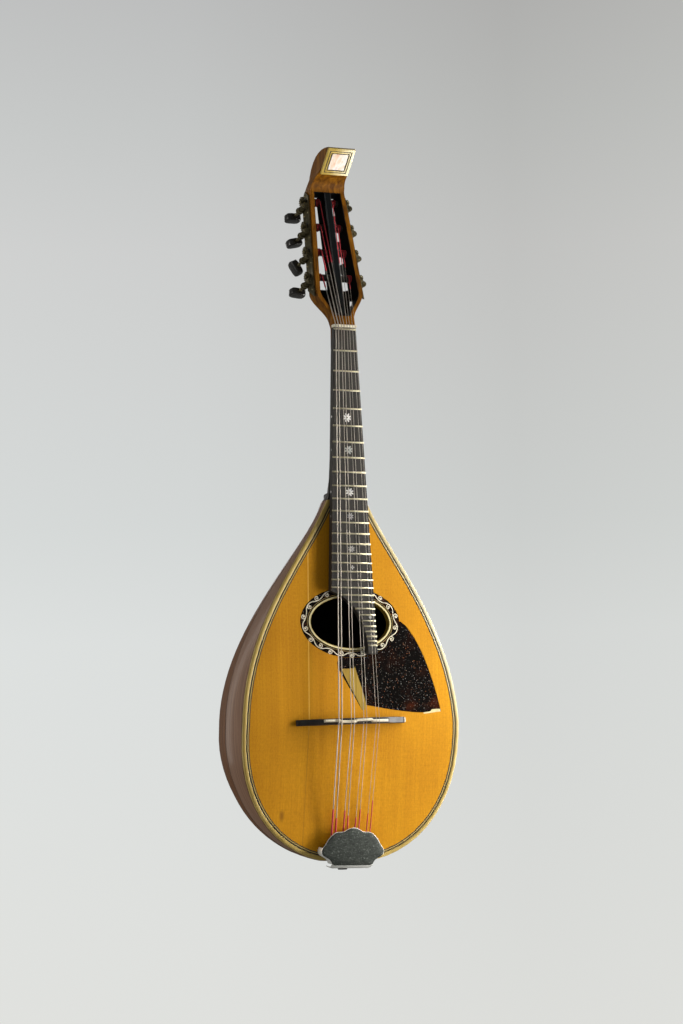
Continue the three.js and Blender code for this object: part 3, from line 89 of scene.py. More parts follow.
class Graph:
    """A node tree, with short calls that add nodes to it."""

    def __init__(self, tree):
        self.nodes = tree.nodes
        self.links = tree.links

    def put(self, socket, value):
        if isinstance(value, bpy.types.NodeSocket):
            self.links.new(value, socket)
        elif socket.type == "RGBA":
            socket.default_value = (*value, 1.0)
        else:
            socket.default_value = value

    def node(self, kind, settings=None, **inputs):
        made = self.nodes.new(kind)
        for key, value in (settings or {}).items():
            setattr(made, key, value)
        for key, value in inputs.items():
            self.put(made.inputs[int(key[1:]) if key[1:].isdigit() else key.replace("_", " ")], value)
        return made

    def axes(self, vector):
        """The outputs X, Y and Z of a vector."""
        return self.node("ShaderNodeSeparateXYZ", Vector=vector).outputs

    def math(self, operation, a, b=0.0, c=0.0):
        return self.node("ShaderNodeMath", {"operation": operation}, _0=a, _1=b, _2=c).outputs["Value"]

    def share(self, value, start, end, low=0.0, high=1.0, curve="LINEAR"):
        """Carries a value from one range to another, and holds it at the ends."""
        made = self.node("ShaderNodeMapRange", {"interpolation_type": curve}, Value=value, From_Min=start,
                         From_Max=end, To_Min=low, To_Max=high)
        return made.outputs["Result"]

    def ramp(self, fac, *stops):
        """Turns a number into a colour, from pairs of a position and a colour."""
        made = self.node("ShaderNodeValToRGB", Fac=fac)
        elements = made.color_ramp.elements
        while len(elements) < len(stops):
            elements.new(0.5)
        for element, (position, color) in zip(elements, stops):
            element.position = position
            element.color = (*color, 1.0)
        return made.outputs["Color"]

    def mix(self, fac, a, b, blend="MIX"):
        made = self.node("ShaderNodeMix", {"data_type": "RGBA", "blend_type": blend}, _0=fac, _6=a, _7=b)
        return made.outputs[2]


# %% [markdown]
# The studio is a pale sky that is a little darker above and on the right. A broad light stands close on the
# treble side and rakes across the soundboard, so that the fingerboard and the bridge throw soft shadows to
# the bass side. A long light on the bass side draws a reflection along the ribs, and one behind lights the
# bowl for views from the back. The sky lights and reflects less than it shows, as dark cloths round a
# photographer's table make it do.

# %% Studio
SKY_LIGHT = 0.28
SKY_GLOSS = 0.15
world = bpy.data.worlds.new("studio")
bpy.context.scene.world = world
world.use_nodes = True
sky = Graph(world.node_tree)
direction = sky.node("ShaderNodeTexCoord").outputs["Generated"]
height_share = sky.share(sky.axes(direction)["Z"], -0.02, 0.27)
backdrop = sky.ramp(height_share, (0.0, (0.750, 0.757, 0.732)), (0.39, (0.728, 0.750, 0.741)),
                    (0.50, (0.676, 0.700, 0.692)), (0.75, (0.634, 0.642, 0.637)),
                    (0.865, (0.577, 0.590, 0.584)), (1.0, (0.520, 0.525, 0.524)))
sideways = sky.node("ShaderNodeVectorMath", {"operation": "DOT_PRODUCT"}, _0=direction, _1=right)
vignette = sky.ramp(sky.share(sideways.outputs["Value"], -0.1, 0.1), (0.0, (1.0, 1.0, 1.0)),
                    (0.3, (0.955, 0.955, 0.955)), (0.74, (0.80, 0.79, 0.775)), (1.0, (0.875, 0.865, 0.845)))
shaded = sky.mix(sky.share(height_share, 0.0, 1.0, 0.18, 1.0), backdrop, vignette, "MULTIPLY")
rays = sky.node("ShaderNodeLightPath").outputs
strength = 1.0
for ray, level in (("Is Diffuse Ray", SKY_LIGHT), ("Is Glossy Ray", SKY_GLOSS)):
    strength = sky.math("MULTIPLY_ADD", rays[ray], level - 1.0, strength)
background = sky.nodes["Background"].inputs
sky.put(background["Color"], shaded)
sky.put(background["Strength"], strength)
bpy.context.scene.view_settings.view_transform = "Standard"


def soft_light(name, place, aim, width, height, power, color):
    """A rectangular lamp that faces a point."""
    data = bpy.data.lights.new(name, "AREA")
    data.shape = "RECTANGLE"
    data.size = width
    data.size_y = height
    data.energy = power
    data.color = color
    lamp = bpy.data.objects.new(name, data)
    lamp.location = place
    lamp.rotation_euler = (Vector(aim) - Vector(place)).to_track_quat("-Z", "Y").to_euler()
    lamp.visible_camera = False
    bpy.context.scene.collection.objects.link(lamp)


soft_light("key_light", (0.52, -0.25, -0.20), (0.0, 0.0, -0.30), 0.16, 0.80, 10.0, (1.0, 0.97, 0.92))
soft_light("front_light", (1.9, -1.5, -0.7), (0.0, 0.0, -0.15), 1.2, 1.2, 6.0, (1.0, 0.99, 0.97))
soft_light("bass_light", (-1.5, 0.10, -0.1), (0.0, 0.05, -0.3), 0.35, 1.6, 8.0, (1.0, 0.95, 0.89))
soft_light("rib_light", (-0.50, 2.4, 0.25), (0.0, 0.05, -0.2), 0.25, 1.4, 1.6, (1.0, 0.94, 0.87))
soft_light("back_light", (1.1, 2.2, 0.9), (0.0, 0.05, -0.2), 1.4, 1.4, 12.0, (1.0, 1.0, 1.0))

# %% [markdown]
# A finish is a graph round a Principled shader. Its patterns lie on Object coordinates, which are metres
# here, so a stretch of 1000 puts one unit of the pattern on each millimetre. Most finishes are one noise
# that runs from a darker to a lighter tone.

# %% A kit for finishes
FINE_RELIEF = 0.0002


class Finish(Graph):
    """A material under construction."""

    def __init__(self, name, roughness=0.5, metallic=0.0, coat=0.0, coat_roughness=0.1, specular=0.5):
        self.material = bpy.data.materials.new(name)
        self.material.use_nodes = True
        super().__init__(self.material.node_tree)
        self.shader = self.nodes["Principled BSDF"].inputs
        for socket, value in (("Roughness", roughness), ("Metallic", metallic), ("Coat Weight", coat),
                              ("Coat Roughness", coat_roughness), ("Specular IOR Level", specular)):
            self.shader[socket].default_value = value
        self.coords = self.node("ShaderNodeTexCoord").outputs["Object"]

    def noise(self, stretch, detail=4.0, roughness=0.55, distortion=0.0, turn=(0.0, 0.0, 0.0)):
        """Noise on a vector, or on the coordinates under one stretch or three."""
        if isinstance(stretch, float):
            stretch = (stretch,) * 3
        if isinstance(stretch, tuple):
            stretch = self.node("ShaderNodeMapping", Vector=self.coords, Scale=stretch,
                                Rotation=turn).outputs["Vector"]
        return self.node("ShaderNodeTexNoise", Vector=stretch, Scale=1.0, Detail=detail, Roughness=roughness,
                         Distortion=distortion).outputs["Fac"]

    def color(self, value):
        self.put(self.shader["Base Color"], value)

    def bump(self, height, strength, distance=FINE_RELIEF):
        made = self.node("ShaderNodeBump", Height=height, Strength=strength, Distance=distance)
        self.put(self.shader["Normal"], made.outputs["Normal"])


def two_tone(name, stretch, dark, light, detail=4.0, bump=0.0, turn=(0.0, 0.0, 0.0), **gloss):
    """A finish whose noise runs from a darker to a lighter tone."""
    finish = Finish(name, **gloss)
    grain = finish.noise(stretch, detail, turn=turn)
    finish.color(finish.ramp(grain, (0.3, dark), (0.7, light)))
    if bump:
        finish.bump(grain, bump)
    return finish


# %% [markdown]
# The soundboard is spruce under an aged orange varnish. Spruce shows fine straight lines along the strings,
# one for each year of growth, so the pattern is squeezed across the board and drawn out along it. Rays cross
# the grain, and broad bands and clouds vary it. The bass side and the part near the neck are darker, as
# painted shade where the light from the treble side falls off.

# %% Spruce
WHITE = (1.0, 1.0, 1.0)
spruce = Finish("golden_spruce", roughness=0.5, coat=0.02, coat_roughness=0.2, specular=0.1)
year_lines = spruce.noise((900.0, 60.0, 5.0), 3.0)
on_top = spruce.axes(spruce.coords)
# Painted shade: darker towards the bass side and the neck, where the light from the treble side falls off.
shade_falloff_place = spruce.math("MULTIPLY_ADD", on_top["Z"], -0.35, on_top["X"])
varnish = spruce.ramp(year_lines, (0.30, (0.64, 0.285, 0.008)), (0.55, (0.69, 0.325, 0.009)),
                      (0.75, (0.74, 0.355, 0.012)))
for pattern, *stops in (
    (spruce.noise((60.0, 10.0, 1.0), 2.0), (0.3, (0.93, 0.90, 0.84)), (0.7, WHITE)),
    (spruce.noise((130.0, 60.0, 1500.0), 2.0), (0.35, (0.93, 0.91, 0.88)), (0.65, WHITE)),
    (spruce.noise((13.0, 13.0, 9.0), 3.0), (0.25, (0.80, 0.74, 0.62)), (0.6, WHITE)),
    (spruce.noise((1100.0, 60.0, 420.0), 5.0, 0.6), (0.32, (0.87, 0.82, 0.70)), (0.50, (0.98, 0.97, 0.94)),
     (0.66, (1.05, 1.06, 1.10))),
    (spruce.share(shade_falloff_place, 0.0, 0.15), (0.0, (0.68, 0.66, 0.52)), (0.5, (0.88, 0.87, 0.82)),
     (1.0, (0.98, 0.98, 0.96))),
):
    varnish = spruce.mix(1.0, varnish, spruce.ramp(pattern, *stops), "MULTIPLY")

# %% [markdown]
# The top is glued from several boards. One joint shows on the bass side as a fine line, light above the
# bridge and dark below it. It is drawn in the material from the distance to a slightly leaning line. A small
# dark knot lies low on the bass side, drawn from the distance to a point.

# %% The joint in the top
SEAM_X = -0.0386
SEAM_LEAN = 0.018
SEAM_MIDDLE = 0.268
KNOT_X = -0.0615
KNOT_Z = -0.4093
KNOT_FLATTENING = 0.45
seam_line = spruce.math("MULTIPLY_ADD", on_top["Z"], SEAM_LEAN, SEAM_X + SEAM_LEAN * SEAM_MIDDLE)
seam_distance = spruce.math("ABSOLUTE", spruce.math("SUBTRACT", on_top["X"], seam_line))
seam = spruce.share(seam_distance, 0.0001, 0.0006, 0.75, 0.0, "SMOOTHSTEP")
below_bridge = spruce.share(on_top["Z"], -0.325, -0.345)
seam_color = spruce.mix(below_bridge, (0.88, 0.55, 0.10), (0.36, 0.15, 0.008))
knot_offset = spruce.node("ShaderNodeVectorMath", {"operation": "MULTIPLY_ADD"}, _0=spruce.coords,
                          _1=(1.0, 0.0, KNOT_FLATTENING), _2=(-KNOT_X, 0.0, -KNOT_Z * KNOT_FLATTENING))
knot_reach = spruce.node("ShaderNodeVectorMath", {"operation": "LENGTH"}, _0=knot_offset.outputs["Vector"])
knot = spruce.share(knot_reach.outputs["Value"], 0.0004, 0.0032, 0.7, 0.0, "SMOOTHSTEP")
spruce.color(spruce.mix(seam, spruce.mix(knot, varnish, (0.20, 0.075, 0.006)), seam_color))
spruce.bump(year_lines, 0.10)

# %% [markdown]
# The ribs are dark rosewood in three tones. The grain runs with the ribs from the neck to the tail, so the
# pattern takes the angle round the bowl as its first axis.

# %% Rosewood
RIB_SQUEEZE = 0.66


def rosewood_tone(name, dark, middle, light, coat, specular):
    finish = Finish(name, roughness=0.42, coat=coat, coat_roughness=0.12, specular=specular)
    at = finish.axes(finish.coords)
    round_bowl = finish.math("ARCTAN2", at["Y"], finish.math("MULTIPLY", at["X"], -1.0 / RIB_SQUEEZE))
    along = finish.node("ShaderNodeCombineXYZ", X=finish.math("MULTIPLY", round_bowl, 110.0),
                        Y=finish.math("MULTIPLY", at["Z"], 14.0))
    grain = finish.noise(along.outputs["Vector"], 6.0, distortion=0.5)
    finish.color(finish.ramp(grain, (0.3, dark), (0.52, middle), (0.78, light)))
    finish.bump(grain, 0.06)
    return finish


rosewoods = (
    rosewood_tone("rosewood", (0.125, 0.065, 0.038), (0.240, 0.130, 0.076), (0.345, 0.202, 0.126), 0.16, 0.2),
    rosewood_tone("rosewood_dark", (0.050, 0.017, 0.005), (0.155, 0.058, 0.013), (0.250, 0.106, 0.028), 0.09, 0.1),
    rosewood_tone("rosewood_red", (0.036, 0.014, 0.008), (0.108, 0.044, 0.018), (0.185, 0.084, 0.036), 0.09, 0.1),
)

# %% [markdown]
# The head is one piece of stained hardwood. The spine and the walls of its two slots are lacquered black, so
# the material works out where a point lies on the tilted head and turns black between the rails, in front of
# the head's back. Below the nut the neck turns near black.

# %% Head wood
HEAD_TILT = math.radians(12.6)
HEAD_FOOT = (0.0, -0.0033, 0.003)
SHOULDER_HEIGHTS = (0.006, 0.032)
NUT_HALF = 0.0103
SHOULDER_HALF = 0.0216
HEAD_NARROWING = 0.0597
LACQUER_INSET = 0.0037
LACQUER_HEIGHTS = (0.0093, 0.1237)
BACK_LINES = ((0.0, 0.0146), (-0.009 / 0.033, 0.0056), (0.25, 0.0426))
head_wood = Finish("head_wood", roughness=0.35, coat=0.04, coat_roughness=0.15, specular=0.12)
head_grain = head_wood.noise((260.0, 260.0, 16.0), 6.0, distortion=0.5)
stain = head_wood.ramp(head_grain, (0.28, (0.045, 0.015, 0.002)), (0.55, (0.160, 0.060, 0.004)),
                       (0.8, (0.31, 0.130, 0.008)))
on_head = head_wood.axes(head_wood.node(
    "ShaderNodeMapping", {"vector_type": "TEXTURE"}, Vector=head_wood.coords, Location=HEAD_FOOT,
    Rotation=(-HEAD_TILT, 0.0, 0.0)).outputs["Vector"])
straight_half = head_wood.math("MULTIPLY_ADD", on_head["Z"], -HEAD_NARROWING,
                               SHOULDER_HALF + HEAD_NARROWING * SHOULDER_HEIGHTS[1] - LACQUER_INSET)
shoulder_half = head_wood.share(on_head["Z"], *SHOULDER_HEIGHTS, NUT_HALF - LACQUER_INSET,
                                SHOULDER_HALF - LACQUER_INSET, "SMOOTHSTEP")
pocket_half = head_wood.math("MINIMUM", straight_half, shoulder_half)
pocket = head_wood.math("LESS_THAN", head_wood.math("ABSOLUTE", on_head["X"]), pocket_half)
tests = [("GREATER_THAN", on_head["Z"], LACQUER_HEIGHTS[0]), ("LESS_THAN", on_head["Z"], LACQUER_HEIGHTS[1])]
for slope, limit in BACK_LINES:
    tests.append(("LESS_THAN", head_wood.math("MULTIPLY_ADD", on_head["Z"], slope, on_head["Y"]), limit))
for operation, value, limit in tests:
    pocket = head_wood.math("MULTIPLY", pocket, head_wood.math(operation, value, limit))
neck_share = head_wood.share(head_wood.axes(head_wood.coords)["Z"], -0.004, -0.012, curve="SMOOTHSTEP")
neck_color = head_wood.ramp(head_grain, (0.3, (0.006, 0.005, 0.004)), (0.75, (0.024, 0.016, 0.011)))
stain = head_wood.mix(neck_share, stain, neck_color)
head_wood.color(head_wood.mix(pocket, stain, (0.0025, 0.0035, 0.004)))
head_wood.put(head_wood.shader["Roughness"], head_wood.share(pocket, 0.0, 1.0, 0.33, 0.45))
head_wood.bump(head_grain, 0.06)

# %% [markdown]
# Ivoroid is an early plastic that imitates ivory. It runs from yellow on the bass side to white on the treble
# side as painted shade and painted light, and it is yellow low down as well, so the binding and the plaque's
# frame change along X and Z. The pearl inlays are darker at some frets than at others.

# %% Ivoroid and pearl


def ivoroid_with_painted_light(name, yellow_x, white_x, yellow_z=-1.0, white_z=-0.9, tone=1.0):
    """Ivoroid that is yellow on the bass side and low down and white elsewhere, with painted shade and painted
    light across X.
    """
    finish = Finish(name, roughness=0.35, coat=0.15, coat_roughness=0.2, specular=0.3)
    streaks = finish.noise((300.0, 300.0, 10.0), 3.0)
    blotches = finish.noise(45.0, 3.0)
    shaded_yellow = finish.ramp(streaks, (0.3, (0.46 * tone, 0.31 * tone, 0.055)), (0.7, (0.60 * tone, 0.44 * tone, 0.12)))
    lit_white = finish.ramp(streaks, (0.3, (0.74 * tone, 0.64 * tone, 0.38 * tone)),
                        (0.7, (0.86 * tone, 0.78 * tone, 0.53 * tone)))
    at = finish.axes(finish.coords)
    # Painted light and shade: whiter towards the treble side, where the lamp stands, and yellower on the bass side.
    whiteness = finish.math("MULTIPLY", finish.share(at["X"], yellow_x, white_x, curve="SMOOTHSTEP"),
                            finish.share(at["Z"], yellow_z, white_z, curve="SMOOTHSTEP"))
    uneven = finish.math("MULTIPLY_ADD", blotches, 0.3, finish.math("SUBTRACT", whiteness, 0.15))
    finish.color(finish.mix(uneven, shaded_yellow, lit_white))
    return finish


binding_ivoroid = ivoroid_with_painted_light("binding_ivoroid", -0.02, 0.09, -0.37, -0.25, 0.86)
plaque_ivoroid = ivoroid_with_painted_light("plaque_ivoroid", -0.008, 0.013)
pearl = Finish("pearl", roughness=0.15, coat=0.6, coat_roughness=0.08)
pearl.color(pearl.ramp(pearl.noise((90.0, 90.0, 60.0), 3.0, distortion=1.6), (0.25, (0.80, 0.42, 0.27)),
                       (0.42, (0.88, 0.68, 0.52)), (0.58, (0.90, 0.86, 0.82)), (0.8, (0.80, 0.58, 0.50))))
inlay_pearl = Finish("inlay_pearl", roughness=0.2, coat=0.4, coat_roughness=0.1)
inlay_color = inlay_pearl.ramp(inlay_pearl.noise(300.0), (0.3, (0.70, 0.70, 0.72)),
                               (0.7, (0.95, 0.94, 0.90)))
# Some inlays down the board are darker than others.
down_board = inlay_pearl.share(inlay_pearl.axes(inlay_pearl.coords)["Z"], -0.05, -0.25)
inlay_tone_down_board = inlay_pearl.ramp(down_board, (0.13, WHITE), (0.27, (0.42, 0.44, 0.42)), (0.45, (0.75, 0.75, 0.74)),
                              (0.55, (0.38, 0.37, 0.38)), (0.69, (0.40, 0.39, 0.38)), (0.9, (0.60, 0.60, 0.58)))
inlay_pearl.color(inlay_pearl.mix(1.0, inlay_color, inlay_tone_down_board, "MULTIPLY"))

# %% [markdown]
# Tortoiseshell is near black here, with brown clouds and small pale flecks. A fleck is a small disc round
# the middle of a Voronoi cell, and the cell's random colour decides whether it shows and in which tone.

# %% Tortoiseshell
tortoise = Finish("tortoiseshell", roughness=0.26, coat=0.02, coat_roughness=0.12, specular=0.1)
cells = tortoise.node("ShaderNodeTexVoronoi", Vector=tortoise.coords, Scale=960.0)
fleck_choice = tortoise.node("ShaderNodeSeparateColor", Color=cells.outputs["Color"]).outputs
fleck_mask = tortoise.math("MULTIPLY", tortoise.share(cells.outputs["Distance"], 0.22, 0.38, 1.0, 0.0),
                           tortoise.math("POWER", fleck_choice["Red"], 5.0))
clouds = tortoise.ramp(tortoise.noise(42.0, 3.0), (0.50, (0.0025, 0.0018, 0.0015)),
                       (0.64, (0.010, 0.003, 0.0015)), (0.82, (0.075, 0.014, 0.003)))
fleck_color = tortoise.ramp(fleck_choice["Green"], (0.2, (0.26, 0.26, 0.25)), (0.75, (0.33, 0.30, 0.24)),
                            (0.95, (0.30, 0.10, 0.035)))
tortoise.color(tortoise.mix(fleck_mask, clouds, fleck_color))

# %% Metals, silk and other small finishes
steel = two_tone("string_steel", (500.0, 500.0, 60.0), (0.29, 0.26, 0.22), (0.46, 0.42, 0.37),
                 roughness=0.35, metallic=0.75)
string_turns = steel.node("ShaderNodeTexWave", {"bands_direction": "Z"}, Vector=steel.coords, Scale=520.0)
steel.bump(string_turns.outputs["Fac"], 0.25, 0.0001)
bright_silk = Finish("bright_red_silk", roughness=0.6)
silk_turns = bright_silk.node("ShaderNodeTexWave", {"bands_direction": "Z"}, Vector=bright_silk.coords,
                              Scale=700.0, Distortion=0.4).outputs["Fac"]
bright_silk.color(bright_silk.ramp(silk_turns, (0.2, (0.34, 0.012, 0.022)), (0.8, (0.80, 0.07, 0.09))))
bright_silk.bump(silk_turns, 0.4, 0.0001)
cover_nickel = Finish("tarnished_nickel", roughness=0.5, metallic=0.5)
brushing = cover_nickel.noise((240.0, 700.0, 700.0), 5.0)
cover_specks = cover_nickel.noise(900.0, 2.0)
tarnish = cover_nickel.ramp(brushing, (0.3, (0.026, 0.032, 0.028)), (0.7, (0.082, 0.091, 0.080)))
speck_color = cover_nickel.ramp(cover_specks, (0.5, (0.65, 0.67, 0.65)), (0.64, (1.05, 1.05, 1.05)),
                                (0.72, (2.8, 2.8, 2.8)))
cover_nickel.color(cover_nickel.mix(1.0, tarnish, speck_color, "MULTIPLY"))
cover_nickel.put(cover_nickel.shader["Roughness"], cover_nickel.share(brushing, 0.0, 1.0, 0.42, 0.62))
cover_nickel.bump(cover_specks, 0.2)
# Painted highlight: a near-white nickel for the cover's turned edge, wall and lip.
nickel_painted_highlight = two_tone("nickel_painted_highlight", 220.0, (0.78, 0.78, 0.73), (0.98, 0.98, 0.94), 3.0,
                         roughness=0.4, metallic=0.35)
nickel = two_tone("nickel_plate", 160.0, (0.26, 0.25, 0.23), (0.52, 0.51, 0.48), 5.0,
                  roughness=0.22, metallic=1.0)
fret_metal = two_tone("nickel_silver", 900.0, (0.50, 0.44, 0.28), (0.80, 0.74, 0.54),
                      roughness=0.3, metallic=0.85)
brass = two_tone("aged_brass", 220.0, (0.10, 0.085, 0.045), (0.36, 0.31, 0.18), 5.0,
                 roughness=0.38, metallic=1.0)
gold_line = two_tone("gold_line", 400.0, (0.16, 0.10, 0.02), (0.34, 0.24, 0.07), roughness=0.4)
silk = two_tone("red_silk", 2500.0, (0.28, 0.008, 0.015), (0.62, 0.03, 0.05), roughness=0.7)
ivoroid = two_tone("ivoroid", (300.0, 300.0, 10.0), (0.62, 0.52, 0.24), (0.78, 0.70, 0.40), 3.0,
                   roughness=0.35, coat=0.3, coat_roughness=0.2)
# Olive ivoroid for the wedge. On the sound hole's wall it is painted shade on ivory.
olive_and_shaded_ivoroid = two_tone("olive_and_shaded_ivoroid", (500.0, 500.0, 22.0), (0.25, 0.160, 0.018), (0.44, 0.285, 0.048), 3.0,
                         turn=(0.0, 0.35, 0.0), roughness=0.38, coat=0.06, coat_roughness=0.15, specular=0.25)
bone = two_tone("bone", (400.0, 400.0, 60.0), (0.66, 0.58, 0.42), (0.82, 0.77, 0.62), roughness=0.4, coat=0.2)
ebony = two_tone("ebony", (700.0, 700.0, 18.0), (0.011, 0.010, 0.009), (0.036, 0.032, 0.028), 5.0, 0.15,
                 roughness=0.42, coat=0.08, coat_roughness=0.3, specular=0.35)
bridge_ebony = two_tone("bridge_ebony", (18.0, 700.0, 700.0), (0.007, 0.006, 0.006), (0.022, 0.019, 0.017), 5.0,
                        0.1, roughness=0.42, coat=0.05, coat_roughness=0.2, specular=0.35)
horn = two_tone("black_horn", 260.0, (0.008, 0.008, 0.008), (0.03, 0.028, 0.026),
                roughness=0.3, coat=0.3)
drum_black = two_tone("drum_black", 300.0, (0.008, 0.007, 0.007), (0.035, 0.028, 0.022),
                      roughness=0.35, coat=0.2)
slot_black = two_tone("slot_black", (300.0, 300.0, 60.0), (0.002, 0.002, 0.002), (0.006, 0.005, 0.004),
                      roughness=0.8, specular=0.1)
spine_gloss = two_tone("spine_gloss", (300.0, 300.0, 60.0), (0.004, 0.005, 0.006), (0.012, 0.013, 0.015),
                       roughness=0.3, coat=0.6, coat_roughness=0.12)
# Painted shade: the bowl's paper lining is near black.
shade_lining_paper = two_tone("shade_lining_paper", 200.0, (0.010, 0.009, 0.008), (0.022, 0.019, 0.016),
                        roughness=0.95, specular=0.1)
bare_spruce = two_tone("bare_spruce", (60.0, 500.0, 500.0), (0.36, 0.24, 0.12), (0.52, 0.38, 0.22), roughness=0.8)

# %% [markdown]
# The frame's solids keep their vertices. Modifiers weld their triangles, and then either split the shading
# at real edges or round those edges, as sanding and polish do.

# %% Dress the frame's solids
WELD_REACH = 0.000002
CREASE_ANGLE = 32.0


def wear(name, finish, round_width=0.0, crease_angle=CREASE_ANGLE):
    """Gives a CAD node a finish, and rounds or creases its edges."""
    shown = nodes[name]
    shown.data.materials.clear()
    shown.data.materials.append(finish.material)
    shown.data.polygons.foreach_set("use_smooth", [True] * len(shown.data.polygons))
    shown.modifiers.new("weld", "WELD").merge_threshold = WELD_REACH
    if not round_width:
        shown.modifiers.new("crease", "EDGE_SPLIT").split_angle = math.radians(crease_angle)
        return
    bevel = shown.modifiers.new("soften", "BEVEL")
    bevel.width = round_width
    bevel.segments = 2
    bevel.limit_method = "ANGLE"
    bevel.angle_limit = math.radians(crease_angle)
    bevel.harden_normals = True


STRING_NAMES = ("g1", "g2", "d1", "d2", "a1", "a2", "e1", "e2")
for name, finish in (("soundboard", spruce), ("rosette", tortoise), ("pickguard", tortoise),
                     ("upper_brace", bare_spruce), ("lower_brace", bare_spruce), ("fingerboard", ebony),
                     ("tuner_plate_bass", brass), ("tuner_plate_treble", brass), ("tailpiece_plate", nickel)):
    wear(name, finish)
for name, finish, angle in (("tail_block", rosewoods[1], 45.0), ("end_pin", horn, 50.0), ("neck", head_wood, 38.0)):
    wear(name, finish, crease_angle=angle)
for name, finish, width in (("binding", binding_ivoroid, 0.0008), ("nut", bone, 0.0002),
                            ("plaque_frame", plaque_ivoroid, 0.0004), ("plaque_pearl", pearl, 0.0002)):
    wear(name, finish, width)
for name in STRING_NAMES:
    wear(f"knob_{name}", horn, 0.0006)
    wear(f"string_{name}", steel, crease_angle=60.0)

# %% [markdown]
# New pieces are drawn in millimetres and shrunk to metres at the end. Flat work is drawn on the table, in X
# and Y with its height along Z, and a frame then stands it on the soundboard, the fingerboard, the head or
# the tailpiece. `make` turns a finished bmesh into an object that rides on one of the mandolin's bodies.

# %% A bench for new pieces
BRIDGE_DROP = 332.0
TAIL_DROP = 446.0
CANT = math.radians(8.9)


def shift(x, y, z):
    return Matrix.Translation((x, y, z))


def turn(angle, axis):
    return Matrix.Rotation(angle, 4, axis)


STAY = Matrix.Identity(4)
UPRIGHT = turn(math.radians(90.0), "X")
HEAD = shift(0.0, -3.3, 3.0) @ turn(-HEAD_TILT, "X")
TAIL = shift(0.0, (TAIL_DROP - BRIDGE_DROP) * math.tan(CANT), -TAIL_DROP) @ turn(CANT, "X")


def make(name, form, finishes, body="root", replaces=(), sharp=35.0):
    """Shrinks a bmesh to metres and makes it a piece on a body, with its finishes."""
    bmesh.ops.scale(form, vec=(MM, MM, MM), verts=form.verts)
    mesh = bpy.data.meshes.new(name)
    form.to_mesh(mesh)
    form.free()
    for finish in finishes:
        mesh.materials.append(finish.material)
    mesh.polygons.foreach_set("use_smooth", [True] * len(mesh.polygons))
    mesh.set_sharp_from_angle(angle=math.radians(sharp))
    made = bpy.data.objects.new(name, mesh)
    bpy.context.scene.collection.objects.link(made)
    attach(made, body)
    if replaces:
        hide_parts(*replaces)
    return made


def place(form, verts, frame_matrix):
    bmesh.ops.transform(form, matrix=frame_matrix, verts=verts)
    return verts


def outward(form, verts=None):
    """Turns all faces outwards, or those that meet at some vertices."""
    faces = form.faces if verts is None else list({f for v in verts for f in v.link_faces})
    bmesh.ops.recalc_face_normals(form, faces=faces)


def only(kind, items):
    """The vertices, the edges or the faces among a tool's new parts."""
    return [item for item in items if isinstance(item, kind)]


def bar(form, size, centre, frame_matrix=STAY):
    """A rectangular bar of a size, round a centre, in a frame."""
    made = bmesh.ops.create_cube(form, size=1.0)["verts"]
    bmesh.ops.scale(form, vec=size, verts=made)
    bmesh.ops.translate(form, vec=centre, verts=made)
    return place(form, made, frame_matrix)


def turned(form, profile, frame_matrix=STAY, steps=24):
    """A solid of revolution round Z, from pairs of radius and height that start and end on the axis."""
    before = set(form.verts)
    chain = [form.verts.new((radius, 0.0, height)) for radius, height in profile]
    edges = [form.edges.new(pair) for pair in zip(chain, chain[1:])]
    bmesh.ops.spin(form, geom=chain + edges, cent=(0, 0, 0), axis=(0, 0, 1), angle=math.tau,
                   steps=steps, use_merge=True)
    bmesh.ops.remove_doubles(form, verts=[v for v in form.verts if v not in before], dist=0.0001)
    made = [v for v in form.verts if v not in before]
    outward(form, made)
    return place(form, made, frame_matrix)


def rod(form, start, end, radius, sides=12, end_radius=None):
    """A round rod between two points."""
    start, end = Vector(start), Vector(end)
    span = end - start
    aim = Matrix.Translation((start + end) / 2) @ span.to_track_quat("Z", "Y").to_matrix().to_4x4()
    made = bmesh.ops.create_cone(form, cap_ends=True, segments=sides, radius1=radius,
                                 radius2=radius if end_radius is None else end_radius, depth=span.length)["verts"]
    return place(form, made, aim)


def round_edges(form, edges, offset, segments=2):
    return bmesh.ops.bevel(form, geom=list(edges), offset=offset, offset_type="OFFSET", segments=segments,
                           profile=0.5, affect="EDGES", clamp_overlap=True, material=-1)


def flat_face(form, points):
    """One face on the table, from pairs of X and Y."""
    return form.faces.new([form.verts.new((x, y, 0.0)) for x, y in points])


def lift(form, faces, height):
    """Extrudes flat faces upwards, and returns the upper vertices."""
    raised = bmesh.ops.extrude_face_region(form, geom=faces)["geom"]
    top = only(bmesh.types.BMVert, raised)
    bmesh.ops.translate(form, vec=(0.0, 0.0, height), verts=top)
    return top


def raise_plate(form, faces, height):
    """Raises flat faces into a plate of a height."""
    lift(form, faces, height)
    outward(form)


def solve(curve, target):
    """The share between 0 and 1 at which a rising curve reaches a target."""
    low, high = 0.0, 1.0
    for _ in range(30):
        middle = (low + high) / 2
        low, high = (middle, high) if curve(middle) < target else (low, middle)
    return low


# %% [markdown]
# Purfling is the sandwich of thin black and ivory strips that is let into the edge of the soundboard, inside
# the binding. The body's outline is drawn once as a flat face, and four insets step inwards from it. The
# rings that are left over become thin strips, which bend with the cant below the bridge.

# %% The body's outline
JOINT_DROP = 144.8
WIDEST_DROP = 341.0
TAIL_REACH = (TAIL_DROP - WIDEST_DROP) * 1.022
JOINT_HALF = 17.6
BODY_HALF = 99.4
RIM_POWER = 2.2
OUTLINE_START = JOINT_DROP + 0.3
OUTLINE_STEPS = 14


def upper_drop(share):
    """The drop at a share of the way from the neck joint to the widest place."""
    return OUTLINE_START + (WIDEST_DROP - OUTLINE_START) * share


